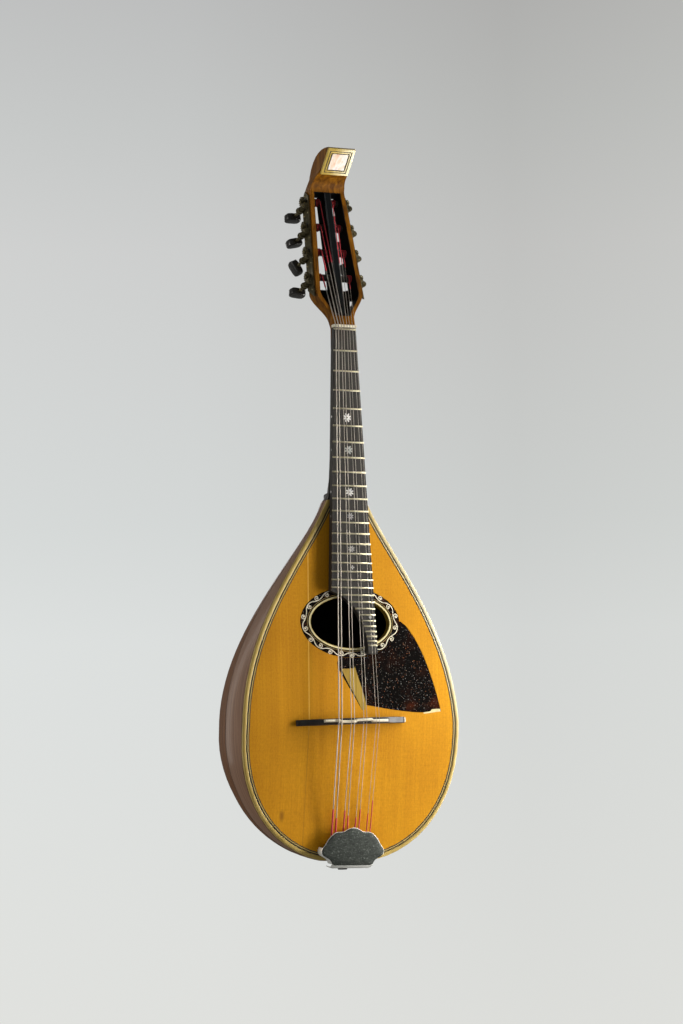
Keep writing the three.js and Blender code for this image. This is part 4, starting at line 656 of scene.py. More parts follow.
def bezier(points, t):
    s = 1.0 - t
    return s ** 3 * points[0] + 3 * s * s * t * points[1] + 3 * s * t * t * points[2] + t ** 3 * points[3]


def body_curve(drop, power, pulls, heights):
    """A Bezier curve from the neck joint to the widest place, then part of a superellipse."""
    if drop >= WIDEST_DROP:
        return heights[-1] * (1.0 - ((drop - WIDEST_DROP) / TAIL_REACH) ** power) ** (1.0 / power)
    length = WIDEST_DROP - JOINT_DROP
    drops = (JOINT_DROP, JOINT_DROP + pulls[0] * length, WIDEST_DROP - pulls[1] * length, WIDEST_DROP)
    return bezier((*heights, heights[-1]), solve(lambda t: bezier(drops, t), drop))


def half_width(drop):
    """Half of the body's width at a drop below the nut."""
    return body_curve(drop, RIM_POWER, (0.235, 0.456), (JOINT_HALF, JOINT_HALF + 0.207 * BODY_HALF, BODY_HALF))


def cant_back(drop):
    """How far the canted part of the soundboard lies behind the flat part."""
    return max(0.0, drop - BRIDGE_DROP) * math.tan(CANT)


def outline_face(form):
    """The body's outline as one flat face, drawn as X and minus the drop."""
    half = []
    for step in range(OUTLINE_STEPS + 1):
        drop = upper_drop(step / OUTLINE_STEPS)
        half.append((half_width(drop), drop))
    for step in range(1, OUTLINE_STEPS + 1):
        angle = math.pi / 2 * step / OUTLINE_STEPS
        drop = WIDEST_DROP + TAIL_REACH * math.sin(angle) ** (2.0 / RIM_POWER)
        if drop < TAIL_DROP:
            half.append((BODY_HALF * math.cos(angle) ** (2.0 / RIM_POWER), drop))
    half.append((half_width(TAIL_DROP), TAIL_DROP))
    return flat_face(form, [(x, -drop) for x, drop in half] + [(-x, -drop) for x, drop in reversed(half)])


def onto_top(form, proud=0.0):
    """Stands flat work on the soundboard and bends it with the cant."""
    for vert in form.verts:
        vert.co = (vert.co.x, cant_back(-vert.co.y) - proud - vert.co.z, vert.co.y)


# %% [markdown]
# Inside, the bowl is lined with paper, which hides the joints between the ribs from the sound hole. The paper
# is near black as painted shade for the inside of the bowl. A grid is bent to the bowl's inner wall and given a
# thickness.

# %% Bowl lining
BOWL_DEPTH = 150.0
HEEL_DEPTH = 35.0
BOWL_POWER = 1.6
LINING_INSET = 2.35
LINING_THICKNESS = 0.25
LINING_START = 152.0
LINING_END = 432.0
LINING_RIM = 4.6


def bowl_depth(drop):
    """The bowl's depth behind the soundboard's rim at a drop."""
    return body_curve(drop, BOWL_POWER, (0.175, 0.43), (HEEL_DEPTH, HEEL_DEPTH + 0.008 * BOWL_DEPTH, BOWL_DEPTH))


form = bmesh.new()
bmesh.ops.create_grid(form, x_segments=40, y_segments=48, size=0.5)
for vert in form.verts:
    drop = LINING_START + (LINING_END - LINING_START) * (vert.co.y + 0.5)
    depth = bowl_depth(drop) - LINING_INSET
    low = math.asin(LINING_RIM / depth)
    angle = low + (math.pi - 2 * low) * (vert.co.x + 0.5)
    vert.co = (-(half_width(drop) - LINING_INSET) * math.cos(angle),
               cant_back(drop) + depth * math.sin(angle), -drop)
outward(form)
bmesh.ops.solidify(form, geom=form.faces[:], thickness=LINING_THICKNESS)
make("bowl_lining", form, (shade_lining_paper,))

# %% [markdown]
# The frame's ribs have few facets, so their silhouette has corners. Each rib is drawn again from a fine flat
# plate, whose points are carried onto the bowl's wall. The section is a little fuller than an ellipse in the
# middle of the bowl. Thin dark strips fill the joints, and each strip is a chain of short rods.

# %% Ribs and their seams
RIB_TONES = (0, 1, 2, 1, 0, 2, 1, 1, 0)
RIB_END = TAIL_DROP - 8.0
RIB_EDGES = (0.0, 15.0, 38.0, 60.0, 80.0, 100.0, 120.0, 142.0, 165.0, 180.0)
RIB_WALL = 2.0
RIM_LEVEL = 3.3
DEPTH_SHARE = 0.998
FULLNESS = 0.32
FULL_START = 165.0
FULL_END = 390.0
UPPER_STEPS = 24
LOWER_STEPS = 18
SEAM_ANGLE = 0.1
SEAM_RADIUS = 0.4
SEAM_SUNK = 0.25


def wall_point(drop, angle, inset):
    """A point of the bowl's wall at an angle, where 0 is the bass rim and 180 degrees the treble rim."""
    full_share = min(1.0, max(0.0, (drop - FULL_START) / (FULL_END - FULL_START)))
    power = 2.0 / (2.0 + FULLNESS * math.sin(math.pi * full_share))
    depth = bowl_depth(drop) * DEPTH_SHARE - inset
    rim = math.asin((RIM_LEVEL / depth) ** (1.0 / power))
    angle = min(math.pi - rim, max(rim, angle))
    across_share = math.copysign(abs(math.cos(angle)) ** power, math.cos(angle))
    return Vector((-(half_width(drop) - inset) * across_share,
                   cant_back(drop) + depth * math.sin(angle) ** power, -drop))


def rib_drop(step):
    """Even stations down to the widest place, then closer ones round the tail."""
    if step < UPPER_STEPS:
        return upper_drop(step / UPPER_STEPS)
    return WIDEST_DROP + (RIB_END - WIDEST_DROP) * math.sin(math.pi / 2 * (step - UPPER_STEPS) / LOWER_STEPS)


for index, (first, last) in enumerate(zip(RIB_EDGES, RIB_EDGES[1:])):
    form = bmesh.new()
    bmesh.ops.create_grid(form, x_segments=6, y_segments=UPPER_STEPS + LOWER_STEPS, size=0.5)
    raise_plate(form, form.faces[:], 1.0)
    for vert in form.verts:
        angle = first + SEAM_ANGLE + (last - first - 2 * SEAM_ANGLE) * (vert.co.x + 0.5)
        step = round((0.5 - vert.co.y) * (UPPER_STEPS + LOWER_STEPS))
        vert.co = wall_point(rib_drop(step), math.radians(angle), RIB_WALL * vert.co.z)
    outward(form)
    make(f"bowl_rib_{index + 1}", form, (rosewoods[RIB_TONES[index]],),
         replaces=(f"rib_{index + 1}",), sharp=40.0)
form = bmesh.new()
for seam_turn in RIB_EDGES[1:-1]:
    points = [wall_point(rib_drop(step), math.radians(seam_turn), SEAM_SUNK)
              for step in range(UPPER_STEPS + LOWER_STEPS + 1)]
    for low_end, high_end in zip(points, points[1:]):
        rod(form, low_end, high_end, SEAM_RADIUS, 6)
make("rib_seams", form, (ebony,))
print("ribs:", len(RIB_EDGES) - 1, "with", UPPER_STEPS + LOWER_STEPS, "steps along each")

# %% Purfling
STRIP_INSETS = ((3.55, None), (0.75, 0), (0.75, 1), (0.8, 0))
STRIP_SUNK = 0.25
STRIP_PROUD = 0.12
form = bmesh.new()
field = outline_face(form)
form.normal_update()
strips, waste = [], []
for thickness, finish_index in STRIP_INSETS:
    ring = bmesh.ops.inset_region(form, faces=[field], thickness=thickness, use_even_offset=True,
                                  use_boundary=True)["faces"]
    (waste if finish_index is None else strips).extend(ring)
    for face in ring:
        face.material_index = finish_index or 0
bmesh.ops.delete(form, geom=waste + [field], context="FACES")
bmesh.ops.bisect_plane(form, geom=form.verts[:] + form.edges[:] + form.faces[:], dist=0.0001,
                       plane_co=(0.0, -BRIDGE_DROP, 0.0), plane_no=(0.0, 1.0, 0.0))
raise_plate(form, form.faces[:], STRIP_SUNK + STRIP_PROUD)
onto_top(form, -STRIP_SUNK)
purfling = make("purfling", form, (ebony, binding_ivoroid), sharp=50.0)
print("purfling:", len(purfling.data.polygons), "faces")

# %% [markdown]
# The rosette is a black oval ring. An ivory ring lines the sound hole, a thin gold line runs beside it, and a
# running vine of ivory scrolls fills the black band. Ovals are circles that are scaled, and two of them
# bridged make a ring.

# %% Rosette rings
HOLE_DROP = 248.5
HOLE_HALF = Vector((36.5, 21.8))
TRIM_SUNK = 0.25
TRIM_PROUD = 0.1
OVAL_SIDES = 96
LINING_DEPTH = 6.0


def oval_ring(form, inner, outer, low, high):
    """A flat oval ring between two pairs of half axes, and between two heights."""
    edges = []
    for half_axes in (inner, outer):
        loop = bmesh.ops.create_circle(form, segments=OVAL_SIDES, radius=1.0)["verts"]
        bmesh.ops.scale(form, vec=(half_axes[0], half_axes[1], 1.0), verts=loop)
        bmesh.ops.translate(form, vec=(0.0, -HOLE_DROP, low), verts=loop)
        edges += {edge for vert in loop for edge in vert.link_edges}
    faces = bmesh.ops.bridge_loops(form, edges=edges)["faces"]
    raise_plate(form, faces, high - low)


for name, inner, outer, low, high, finish in (
    # The sound hole's wall takes the darker olive ivoroid as painted shade on its ivory.
    ("hole_lining", (-0.35, -0.35), (-0.02, -0.02), -LINING_DEPTH, -0.2, olive_and_shaded_ivoroid),
    ("rosette_inner_ring", (0.0, 0.0), (1.5, 1.3), -TRIM_SUNK, TRIM_PROUD, ivoroid),
    ("rosette_gold_line", (2.6, 2.2), (3.1, 2.65), -TRIM_SUNK, TRIM_PROUD, gold_line),
):
    form = bmesh.new()
    oval_ring(form, HOLE_HALF + Vector(inner), HOLE_HALF + Vector(outer), low, high)
    onto_top(form)
    make(name, form, (finish,))

# %% [markdown]
# Each scroll of the vine is an arc of the stem, with a tendril that coils inside its hollow and ends in a
# bud. A short edge is spun round a centre to draw a ribbon, and each spin starts from the edge on which the
# last one ended. The vine is drawn straight, and then every point is carried round the oval.

# %% Rosette vine
VINE_HALF = (42.6, 27.0)
VINE_COUNT = 22
VINE_RISE = 1.55
VINE_PROUD = 0.15
STEM_WIDTH = 0.75
TENDRIL_WIDTH = 0.62
COIL_RADIUS = 1.75
BUD_RADIUS = 0.72


def oval_table(half_axes, count=1440):
    """Lengths along an oval at even angles."""
    lengths = [0.0]
    for step in range(count):
        a, b = math.tau * step / count, math.tau * (step + 1) / count
        lengths.append(lengths[-1] + math.hypot(half_axes[0] * (math.cos(b) - math.cos(a)),
                                                half_axes[1] * (math.sin(b) - math.sin(a))))
    return lengths


vine_lengths = oval_table(VINE_HALF)
vine_step = vine_lengths[-1] / VINE_COUNT


def ribbon(form, edge, centre, angle, steps):
    """Spins an edge round a centre, and returns the edge that it ends on."""
    spun = bmesh.ops.spin(form, geom=[edge, *edge.verts], cent=centre, axis=(0.0, 0.0, 1.0), angle=angle,
                          steps=steps, use_duplicate=False)["geom_last"]
    return only(bmesh.types.BMEdge, spun)[0]


def across(form, centre, radius, angle, width):
    """A short edge across a ribbon's start, pointing away from a centre."""
    ends = [form.verts.new((centre[0] + r * math.cos(angle), centre[1] + r * math.sin(angle), 0.0))
            for r in (radius - width / 2, radius + width / 2)]
    return form.edges.new(ends)


def scroll(form, start, side):
    """One half wave of the vine with its tendril, above or below the line by its side."""
    radius = (vine_step ** 2 / 4 + VINE_RISE ** 2) / (2 * VINE_RISE)
    half_angle = math.asin(vine_step / 2 / radius)
    centre = (start + vine_step / 2, side * (VINE_RISE - radius), 0.0)
    first = side * (math.pi / 2 + half_angle)
    ribbon(form, across(form, centre, radius, first, STEM_WIDTH), centre, -side * 2 * half_angle, 12)
    coil = COIL_RADIUS
    middle = Vector((start + vine_step * 0.60, side * (-0.45), 0.0))
    edge = across(form, middle, coil, side * math.radians(62.0), TENDRIL_WIDTH)
    for angle, next_coil in ((150.0, 1.3), (180.0, 0.9)):
        edge = ribbon(form, edge, middle, -side * math.radians(angle), 10)
        heading = (edge.verts[0].co + edge.verts[1].co) / 2 - middle
        middle = middle + heading * (1.0 - next_coil / coil)
        coil = next_coil
    bud = bmesh.ops.create_circle(form, cap_ends=True, segments=12, radius=BUD_RADIUS)["verts"]
    bmesh.ops.translate(form, vec=middle, verts=bud)


form = bmesh.new()
for index in range(VINE_COUNT):
    scroll(form, index * vine_step, 1 if index % 2 else -1)
raise_plate(form, form.faces[:], TRIM_SUNK + VINE_PROUD)
for vert in form.verts:
    share = vert.co.x % vine_lengths[-1]
    low = min(bisect.bisect_right(vine_lengths, share), len(vine_lengths) - 1) - 1
    part = (share - vine_lengths[low]) / (vine_lengths[low + 1] - vine_lengths[low])
    angle = math.tau * (low + part) / (len(vine_lengths) - 1)
    out = Vector((math.cos(angle) / VINE_HALF[0], math.sin(angle) / VINE_HALF[1])).normalized()
    vert.co = (VINE_HALF[0] * math.cos(angle) + out.x * vert.co.y,
               VINE_HALF[1] * math.sin(angle) + out.y * vert.co.y - HOLE_DROP, vert.co.z - TRIM_SUNK)
outward(form)
onto_top(form)
vine = make("rosette_vine", form, (bone,))
print("rosette vine:", VINE_COUNT, "scrolls of", round(vine_step, 1), "mm,", len(vine.data.polygons), "faces")

# %% [markdown]
# The pickguard carries a wedge of yellow-green ivoroid that runs down from the sound hole, with a dark cap
# at its head. Both are thin plates on the guard.

# %% Wedge on the pickguard
wedge = ((-9.2, 287.6), (2.4, 286.9), (3.2, 285.4), (6.2, 295.0), (9.9, 305.5), (13.2, 318.2), (11.6, 321.6),
         (9.0, 321.8), (3.0, 310.0), (-3.4, 299.2))
chip = ((65.9, 323.4), (72.4, 322.4), (74.0, 320.6), (81.6, 320.2), (81.9, 322.4), (66.4, 324.5))
for name, corners, finish in (("guard_wedge", wedge, olive_and_shaded_ivoroid), ("guard_chip", chip, ivoroid)):
    form = bmesh.new()
    raise_plate(form, [flat_face(form, [(x, -drop) for x, drop in corners])], TRIM_SUNK + TRIM_PROUD)
    onto_top(form, -TRIM_SUNK)
    make(name, form, (finish,))

# %% [markdown]
# Frets are nickel-silver wire with a rounded crown. The board narrows towards the nut, and beyond the sound
# hole its bass side is cut away in a curve, so each wire gets its own length.

# %% Fret wires
SCALE = 330.0
LAST_FRET = 29
BOARD_START_HALF = 10.2
BOARD_LAST_HALF = 21.2
BOARD_START_HEIGHT = 4.75
BOARD_LAST_HEIGHT = 6.85
CUT_START = HOLE_DROP - 25.5
CUT_ELBOW = Vector((HOLE_DROP - 16.5, 11.0))


def fret_drop(fret):
    return SCALE * (1.0 - 2.0 ** (-fret / 12.0))


last_drop = fret_drop(LAST_FRET)
BOARD_SLOPE = math.atan((BOARD_LAST_HEIGHT - BOARD_START_HEIGHT) / last_drop)


def board_half(drop):
    return BOARD_START_HALF + (BOARD_LAST_HALF - BOARD_START_HALF) * drop / last_drop


def board_left(drop):
    """The board's bass edge: straight, then the curve of the extension past the sound hole."""
    if drop <= CUT_START:
        return -board_half(drop)
    start, end = Vector((CUT_START, -board_half(CUT_START))), Vector((last_drop + 6.8, 13.5))

    def cut(t):
        return start * (1 - t) ** 2 + CUT_ELBOW * (2 * t * (1 - t)) + end * t * t

    return cut(solve(lambda t: cut(t).x, drop)).y


def on_board(x, drop):
    """The frame of a place on the fingerboard's face."""
    face = -(BOARD_START_HEIGHT + (BOARD_LAST_HEIGHT - BOARD_START_HEIGHT) * drop / last_drop)
    return shift(x, face, -drop) @ turn(-BOARD_SLOPE, "X") @ UPRIGHT


WIRE_WIDTH = 1.3
WIRE_HEIGHT = 0.97
WIRE_CROWN = 0.42
WIRE_SUNK = 0.3
WIRE_OVERHANG = 0.05
form = bmesh.new()
for fret in range(LAST_FRET + 1):
    drop = fret_drop(fret)
    left, right = board_left(drop) - WIRE_OVERHANG, board_half(drop) + WIRE_OVERHANG
    wire = bar(form, (right - left, WIRE_WIDTH, WIRE_HEIGHT * 2), (0.0, 0.0, 0.0))
    crown = [e for e in {e for v in wire for e in v.link_edges} if all(v.co.z > 0.0 for v in e.verts)]
    new = round_edges(form, crown, WIRE_CROWN, 3)["verts"]
    wire = list({v for v in wire if v.is_valid} | set(new))
    for vert in wire:
        vert.co.z = max(vert.co.z, -WIRE_SUNK)
    place(form, wire, on_board((left + right) / 2, drop))
make("fret_wires", form, (fret_metal,), sharp=50.0)
print("frets:", LAST_FRET + 1, "from", fret_drop(0), "to", round(last_drop, 1), "mm")

# %% [markdown]
# The position marks are snowflakes of mother of pearl. A petal is a disc that is drawn out to a spindle,
# and eight of them stand round a centre. Plain dots mark the same frets on the board's bass edge.

# %% Pearl inlays
INLAY_PROUD = 0.06
INLAY_SUNK = 0.1
PETAL_SHARE = 0.36
PETAL_HALF = 0.44
PETAL_MIDDLE = 0.56
PETAL_SWELL = 0.25
FLOWERS = [(x, drop, reach, reach * PETAL_SHARE, 8, 20.0) for x, drop, reach in (
    (-0.2, 75.7, 4.0), (0.3, 103.2, 3.9), (0.1, 139.1, 3.7), (0.0, 159.6, 3.1), (0.0, 187.1, 3.1))]
FLOWERS += [(0.5, 202.7, 1.9, 1.2, 4, 0.0), (15.6, 244.3, 1.4, 0.9, 6, 0.0)]


def petal(form, reach, width, angle, frame_matrix):
    """A spindle that points away from the centre, flat on the board."""
    made = bmesh.ops.create_circle(form, cap_ends=True, segments=12, radius=1.0)["verts"]
    bmesh.ops.scale(form, vec=(reach * PETAL_HALF, width / 2, 1.0), verts=made)
    for vert in made:
        if vert.co.x > 0.0:
            vert.co.y *= 1.0 + PETAL_SWELL * vert.co.x / reach
    bmesh.ops.translate(form, vec=(reach * PETAL_MIDDLE, 0.0, 0.0), verts=made)
    bmesh.ops.rotate(form, verts=made, cent=(0, 0, 0), matrix=Matrix.Rotation(angle, 3, "Z"))
    made += lift(form, list(made[0].link_faces), INLAY_PROUD + INLAY_SUNK)
    place(form, made, frame_matrix @ shift(0.0, 0.0, -INLAY_SUNK))


form = bmesh.new()
for x, drop, reach, width, count, first_turn in FLOWERS:
    for index in range(count):
        petal(form, reach, width, math.radians(360.0 / count * index + first_turn), on_board(x, drop))
outward(form)
make("pearl_inlays", form, (inlay_pearl,), sharp=60.0)

DOT_RADIUS = 0.95
form = bmesh.new()
for drop, depth in ((75.0, 2.6), (103.3, 2.8), (139.0, 3.0), (159.7, 3.1)):
    edge = -board_half(drop)
    rod(form, (edge + 0.3, -depth, -drop), (edge - 0.12, -depth, -drop), DOT_RADIUS, 14)
make("side_dots", form, (inlay_pearl,))

# %% [markdown]
# The strings are plain or wound steel. Their ends are served with red silk, which shows between the
# tailpiece and the bridge and on the way to the rollers. A sleeve of silk is a rod a little thicker than its
# string, on the same line.

# %% Silk on the strings
COURSES = 4
STRING_RADII = {"g": 0.45, "d": 0.3, "a": 0.2, "e": 0.16}
SERVED_TO = (405.6, 413.1, 406.5, 411.0, 412.3, 405.7, 409.1, 398.3)
SILK_ENDS = (38.0, 53.0, 60.5, 60.5, 60.0, 60.0, 58.0, 38.0)
SILK_AT_TAIL = 0.28
SILK_AT_HEAD = 0.22
HOOK_HEIGHT = 3.4
NUT_HEIGHT = 2.6
ROLLER_DEPTH = 8.3
ROLLER_REACH = 3.95
TUNER_FIRST = 47.2
TUNER_PITCH = 23.3
WINDING_FIRST = 12.5
WINDING_SHIFT = 2.2


class String:
    """Where one string passes the tailpiece, the saddle, the nut and its roller."""

    def __init__(self, index, name):
        self.name = name
        self.index = index
        self.radius = STRING_RADII[name[0]]
        self.side = -1 if index < COURSES else 1
        self.tuner = index if self.side < 0 else 2 * COURSES - 1 - index
        self.height = TUNER_FIRST + TUNER_PITCH * self.tuner
        self.winding_x = self.side * (WINDING_FIRST - WINDING_SHIFT * self.tuner)
        self.tail = TAIL @ self.over(10.4, 3.6, 2.8, HOOK_HEIGHT)
        self.saddle = self.over(11.5, 2.8, 12.7, -BRIDGE_DROP)
        self.nut = self.over(5.2, 2.4, 6.1, NUT_HEIGHT)
        self.roller = HEAD @ Vector((self.winding_x, ROLLER_DEPTH - ROLLER_REACH - self.radius, self.height))

    def over(self, pitch, gap, rise, height):
        """Where the string crosses a support, from the pairs' pitch, the gap in a pair and the support's rise."""
        across = (self.index // 2 - (COURSES - 1) / 2) * pitch + (self.index % 2 - 0.5) * gap
        return Vector((across, -(rise + self.radius), height))


strings = [String(index, name) for index, name in enumerate(STRING_NAMES)]
form = bmesh.new()
for string, served_to in zip(strings, SERVED_TO):
    reach = (served_to + string.tail.z) / (BRIDGE_DROP + string.tail.z)
    end = string.tail.lerp(string.saddle, reach)
    rod(form, string.tail, end, string.radius + SILK_AT_TAIL, 10)
    rod(form, end, end.lerp(string.saddle, 0.02), string.radius + SILK_AT_TAIL, 10, string.radius + 0.02)
make("silk_at_tail", form, (bright_silk,))
form = bmesh.new()
for string, silk_end in zip(strings, SILK_ENDS):
    span = string.roller - string.nut
    start = string.roller - span.normalized() * 0.4
    end = string.nut + span * (silk_end / (string.height + NUT_HEIGHT))
    rod(form, start, end, string.radius + SILK_AT_HEAD, 10)
make("silk_at_head", form, (bright_silk,))

# %% [markdown]
# The slots in the head get narrower towards the back, so that little shows through them. A black lining
# thickens the wall on the treble side of each slot, and a sloped block closes its lower end behind the
# strings. Both are cubes whose corners are put in place. A glossy bead runs along each side of the spine.

# %% Slot linings
HEAD_BACK = 13.0
SPINE_HALF = 2.75
RAIL_INNER = (17.6, 12.6)
SLOT_ENDS = (29.0, 123.0)
LINING_DRAW = {False: 0.12, True: 2.3}
LAP = 0.3
form = bmesh.new()
for walls in ((-SPINE_HALF, -SPINE_HALF), RAIL_INNER):
    for vert in bmesh.ops.create_cube(form, size=1.0)["verts"]:
        outer, at_back, high = (value > 0.0 for value in vert.co)
        vert.co = (walls[high] + LAP if outer else walls[high] - LINING_DRAW[at_back],
                   HEAD_BACK if at_back else 1.2, SLOT_ENDS[high])
BLOCK_CORNERS = {(False, False): (6.5, 3.0, 9.0), (False, True): (8.0, 3.0, 13.0),
                 (True, False): (14.0, HEAD_BACK, 26.0), (True, True): (16.5, HEAD_BACK, 38.0)}
for side in (-1, 1):
    for vert in bmesh.ops.create_cube(form, size=1.0)["verts"]:
        outer, depth, height = BLOCK_CORNERS[(vert.co.y > 0.0, vert.co.z > 0.0)]
        vert.co = (side * (outer if vert.co.x > 0.0 else SPINE_HALF - LAP), depth, height)
outward(form)
place(form, form.verts[:], HEAD)
make("slot_linings", form, (slot_black,))

form = bmesh.new()
for side in (-1, 1):
    ends = [HEAD @ Vector((side * (SPINE_HALF - LAP), 0.4, height)) for height in (12.0, SLOT_ENDS[1])]
    rod(form, *ends, 0.6)
make("spine_beads", form, (spine_gloss,), sharp=60.0)

# %% [markdown]
# A tuner is a worm gear. The knob turns the worm, and the worm turns the gear on the roller's end. The gear
# is a circle with four points a tooth, pulled in between the teeth and raised. The drum is turned on a
# lathe, and the silk winding is a disc spun round the roller while it creeps sideways.

# %% Rollers
GEAR_TEETH = 12
GEAR_TIP = 4.35
GEAR_ROOT = 3.15
GEAR_WIDTH = 2.0
GEAR_GAP = 2.0
PLATE_THICKNESS = 1.4
WINDING_RADIUS = 0.45
WINDING_SUNK = 0.25
WINDING_PITCH = 1.4
WINDING_TURNS = 2.5
STEPS_A_TURN = 24
DRUM_RADIUS = 3.0


def head_half(height):
    """Half of the head's width beside the slots."""
    return (SHOULDER_HALF / MM) - HEAD_NARROWING * (height - SHOULDER_HEIGHTS[1] / MM)


def gear(form, low, high):
    """A spur gear between two heights, with one tooth pointing along -Y."""
    loop = bmesh.ops.create_circle(form, cap_ends=True, segments=GEAR_TEETH * 4, radius=GEAR_TIP)["verts"]
    tooth = math.tau / GEAR_TEETH
    for index, vert in enumerate(loop):
        number, corner = divmod(index, 4)
        angle = tooth * number - math.pi / 2 + (-0.055, 0.055, tooth * 0.4, tooth * 0.6)[corner]
        radius = GEAR_TIP if corner < 2 else GEAR_ROOT
        vert.co = (radius * math.cos(angle), radius * math.sin(angle), low)
    made = loop + lift(form, list(loop[0].link_faces), high - low)
    outward(form, made)
    return made


for string in strings:
    face_x = head_half(string.height) + PLATE_THICKNESS
    gear_in = face_x + GEAR_GAP
    gear_out = gear_in + GEAR_WIDTH
    axis = HEAD @ shift(0.0, ROLLER_DEPTH, string.height) @ turn(string.side * math.pi / 2, "Y")
    body = f"roller_{string.name}"

    form = bmesh.new()
    turned(form, [(0.0, 0.55), (1.6, 0.55), (1.6, 3.05), (2.8, 3.05), (DRUM_RADIUS, 3.25),
                  (DRUM_RADIUS, face_x + 0.1), (2.8, face_x + 0.3), (0.0, face_x + 0.3)], axis, 20)
    make(f"drum_{string.name}", form, (drum_black,), body, (body,))

    form = bmesh.new()
    turned(form, [(0.0, face_x + 0.2), (2.2, face_x + 0.2), (2.2, gear_out + 0.35), (1.75, gear_out + 0.35),
                  (1.75, gear_out + 0.75), (1.5, gear_out + 0.9), (0.0, gear_out + 0.9)], axis, 20)
    place(form, gear(form, gear_in, gear_out), axis)
    bar(form, (3.1, 0.45, 0.5), (0.0, 0.0, gear_out + 0.72), axis)
    make(f"gear_{string.name}", form, (brass,), body, (body,))

    form = bmesh.new()
    disc = bmesh.ops.create_circle(form, cap_ends=True, segments=10, radius=WINDING_RADIUS)["verts"]
    bmesh.ops.translate(form, vec=(0.0, -(DRUM_RADIUS + WINDING_RADIUS - WINDING_SUNK), 0.0), verts=disc)
    bmesh.ops.spin(form, geom=[*disc[0].link_faces, *{e for v in disc for e in v.link_edges}, *disc],
                   cent=(0, 0, 0), axis=(-1.0, 0.0, 0.0), angle=math.tau * WINDING_TURNS,
                   steps=round(STEPS_A_TURN * WINDING_TURNS),
                   dvec=(string.side * WINDING_PITCH / STEPS_A_TURN, 0.0, 0.0))
    outward(form)
    place(form, form.verts[:], HEAD @ shift(string.winding_x, ROLLER_DEPTH, string.height))
    make(f"winding_{string.name}", form, (silk,), body, (body,), sharp=60.0)
print("tuners:", len(strings), "with", GEAR_TEETH, "teeth each")

# %% [markdown]
# The worm is a rod with a thread. The thread is one small face, spun round the rod three times while it
# moves along by the worm's pitch, which is the gear's circumference divided by its teeth. The rod ends in a
# collar, a turned neck and the knob.

# %% Worms
WORM_DROP = 5.6
WORM_PITCH = math.pi * 0.65
WORM_TURNS = 3
WORM_OUT = PLATE_THICKNESS + GEAR_GAP + GEAR_WIDTH / 2
THREAD_ROOT = 0.7
THREAD_TIP = 2.15
SHAFT_RADIUS = 0.85
worm_start = ROLLER_DEPTH - WORM_PITCH * WORM_TURNS / 2

for string in strings:
    axle_x = string.side * (head_half(string.height) + WORM_OUT)
    axle = HEAD @ shift(axle_x, 0.0, string.height - WORM_DROP)
    form = bmesh.new()
    corners = ((THREAD_ROOT, -0.62), (THREAD_TIP, -0.2), (THREAD_TIP, 0.2), (THREAD_ROOT, 0.62))
    profile = form.faces.new([form.verts.new((0.0, worm_start + along, radius)) for radius, along in corners])
    steps = STEPS_A_TURN * WORM_TURNS
    bmesh.ops.spin(form, geom=[profile, *profile.edges, *profile.verts], cent=(0, 0, 0), axis=(0.0, 1.0, 0.0),
                   angle=math.tau * WORM_TURNS, steps=steps, dvec=(0.0, WORM_PITCH * WORM_TURNS / steps, 0.0))
    outward(form)
    turned(form, [(0.0, 2.64), (0.7, 2.64), (SHAFT_RADIUS, 2.8), (SHAFT_RADIUS, 14.56), (2.9, 14.56),
                  (3.2, 14.8), (3.2, 15.8), (2.9, 16.06), (1.3, 16.06), (1.1, 16.6), (1.0, 19.0), (1.15, 21.0),
                  (1.5, 22.2), (1.5, 22.9), (1.05, 23.3), (SHAFT_RADIUS, 24.0), (SHAFT_RADIUS, 30.2),
                  (0.0, 30.2)], turn(-math.pi / 2, "X"), 20)
    place(form, form.verts[:], axle)
    make(f"worm_rod_{string.name}", form, (brass,), f"knob_{string.name}",
         (f"worm_{string.name}",))

# %% [markdown]
# Small round-headed screws hold each tuner plate to the side of the head. A screw is turned on its seat.

# %% Plate screws
SIDE_TILT = math.atan2(21.6 - 15.9, 127.5 - 32.0)
SCREWS = ((34.6, 5.0), (58.8, 4.2), (82.1, 4.2), (105.4, 4.2), (122.6, 8.1), (58.8, 12.6), (82.1, 12.6),
          (105.4, 12.6))
form = bmesh.new()
for side in (-1, 1):
    for height, depth in SCREWS:
        seat = HEAD @ shift(side * (head_half(height) + PLATE_THICKNESS), depth, height)
        seat = seat @ turn(-side * SIDE_TILT, "Y") @ turn(side * math.pi / 2, "Y")
        turned(form, [(0.0, -0.6), (1.15, -0.6), (1.15, 0.1), (0.85, 0.45), (0.45, 0.6), (0.0, 0.64)], seat, 14)
make("plate_screws", form, (brass,))

# %% [markdown]
# The plaque on the finial has two thin black lines let into its ivoroid frame, round the pearl.

# %% Plaque lines
PLAQUE = HEAD @ shift(0.0, -17.1, 131.9) @ turn(math.atan2(22.1, 14.1), "X")
PLAQUE_FACE = PLAQUE @ shift(0.0, 0.3, 13.1) @ UPRIGHT
form = bmesh.new()
for half, width in ((8.3, 0.85), (10.25, 0.8)):
    tall = half + 0.4
    line = flat_face(form, ((-half, -tall), (half, -tall), (half, tall), (-half, tall)))
    form.normal_update()
    bmesh.ops.inset_region(form, faces=[line], thickness=width, use_boundary=True)
    bmesh.ops.delete(form, geom=[line], context="FACES")
raise_plate(form, form.faces[:], 0.5)
place(form, form.verts[:], PLAQUE_FACE)
make("plaque_lines", form, (ebony,))

# %% [markdown]
# The bridge is a low ebony bar with rounded ends. It carries a bone saddle whose top steps back and forth, so
# that each pair of strings has its own length, and it stands a little askew for the same reason. The bar is
# drawn from the front as one face, raised to its width and bevelled. It is then turned on the soundboard.

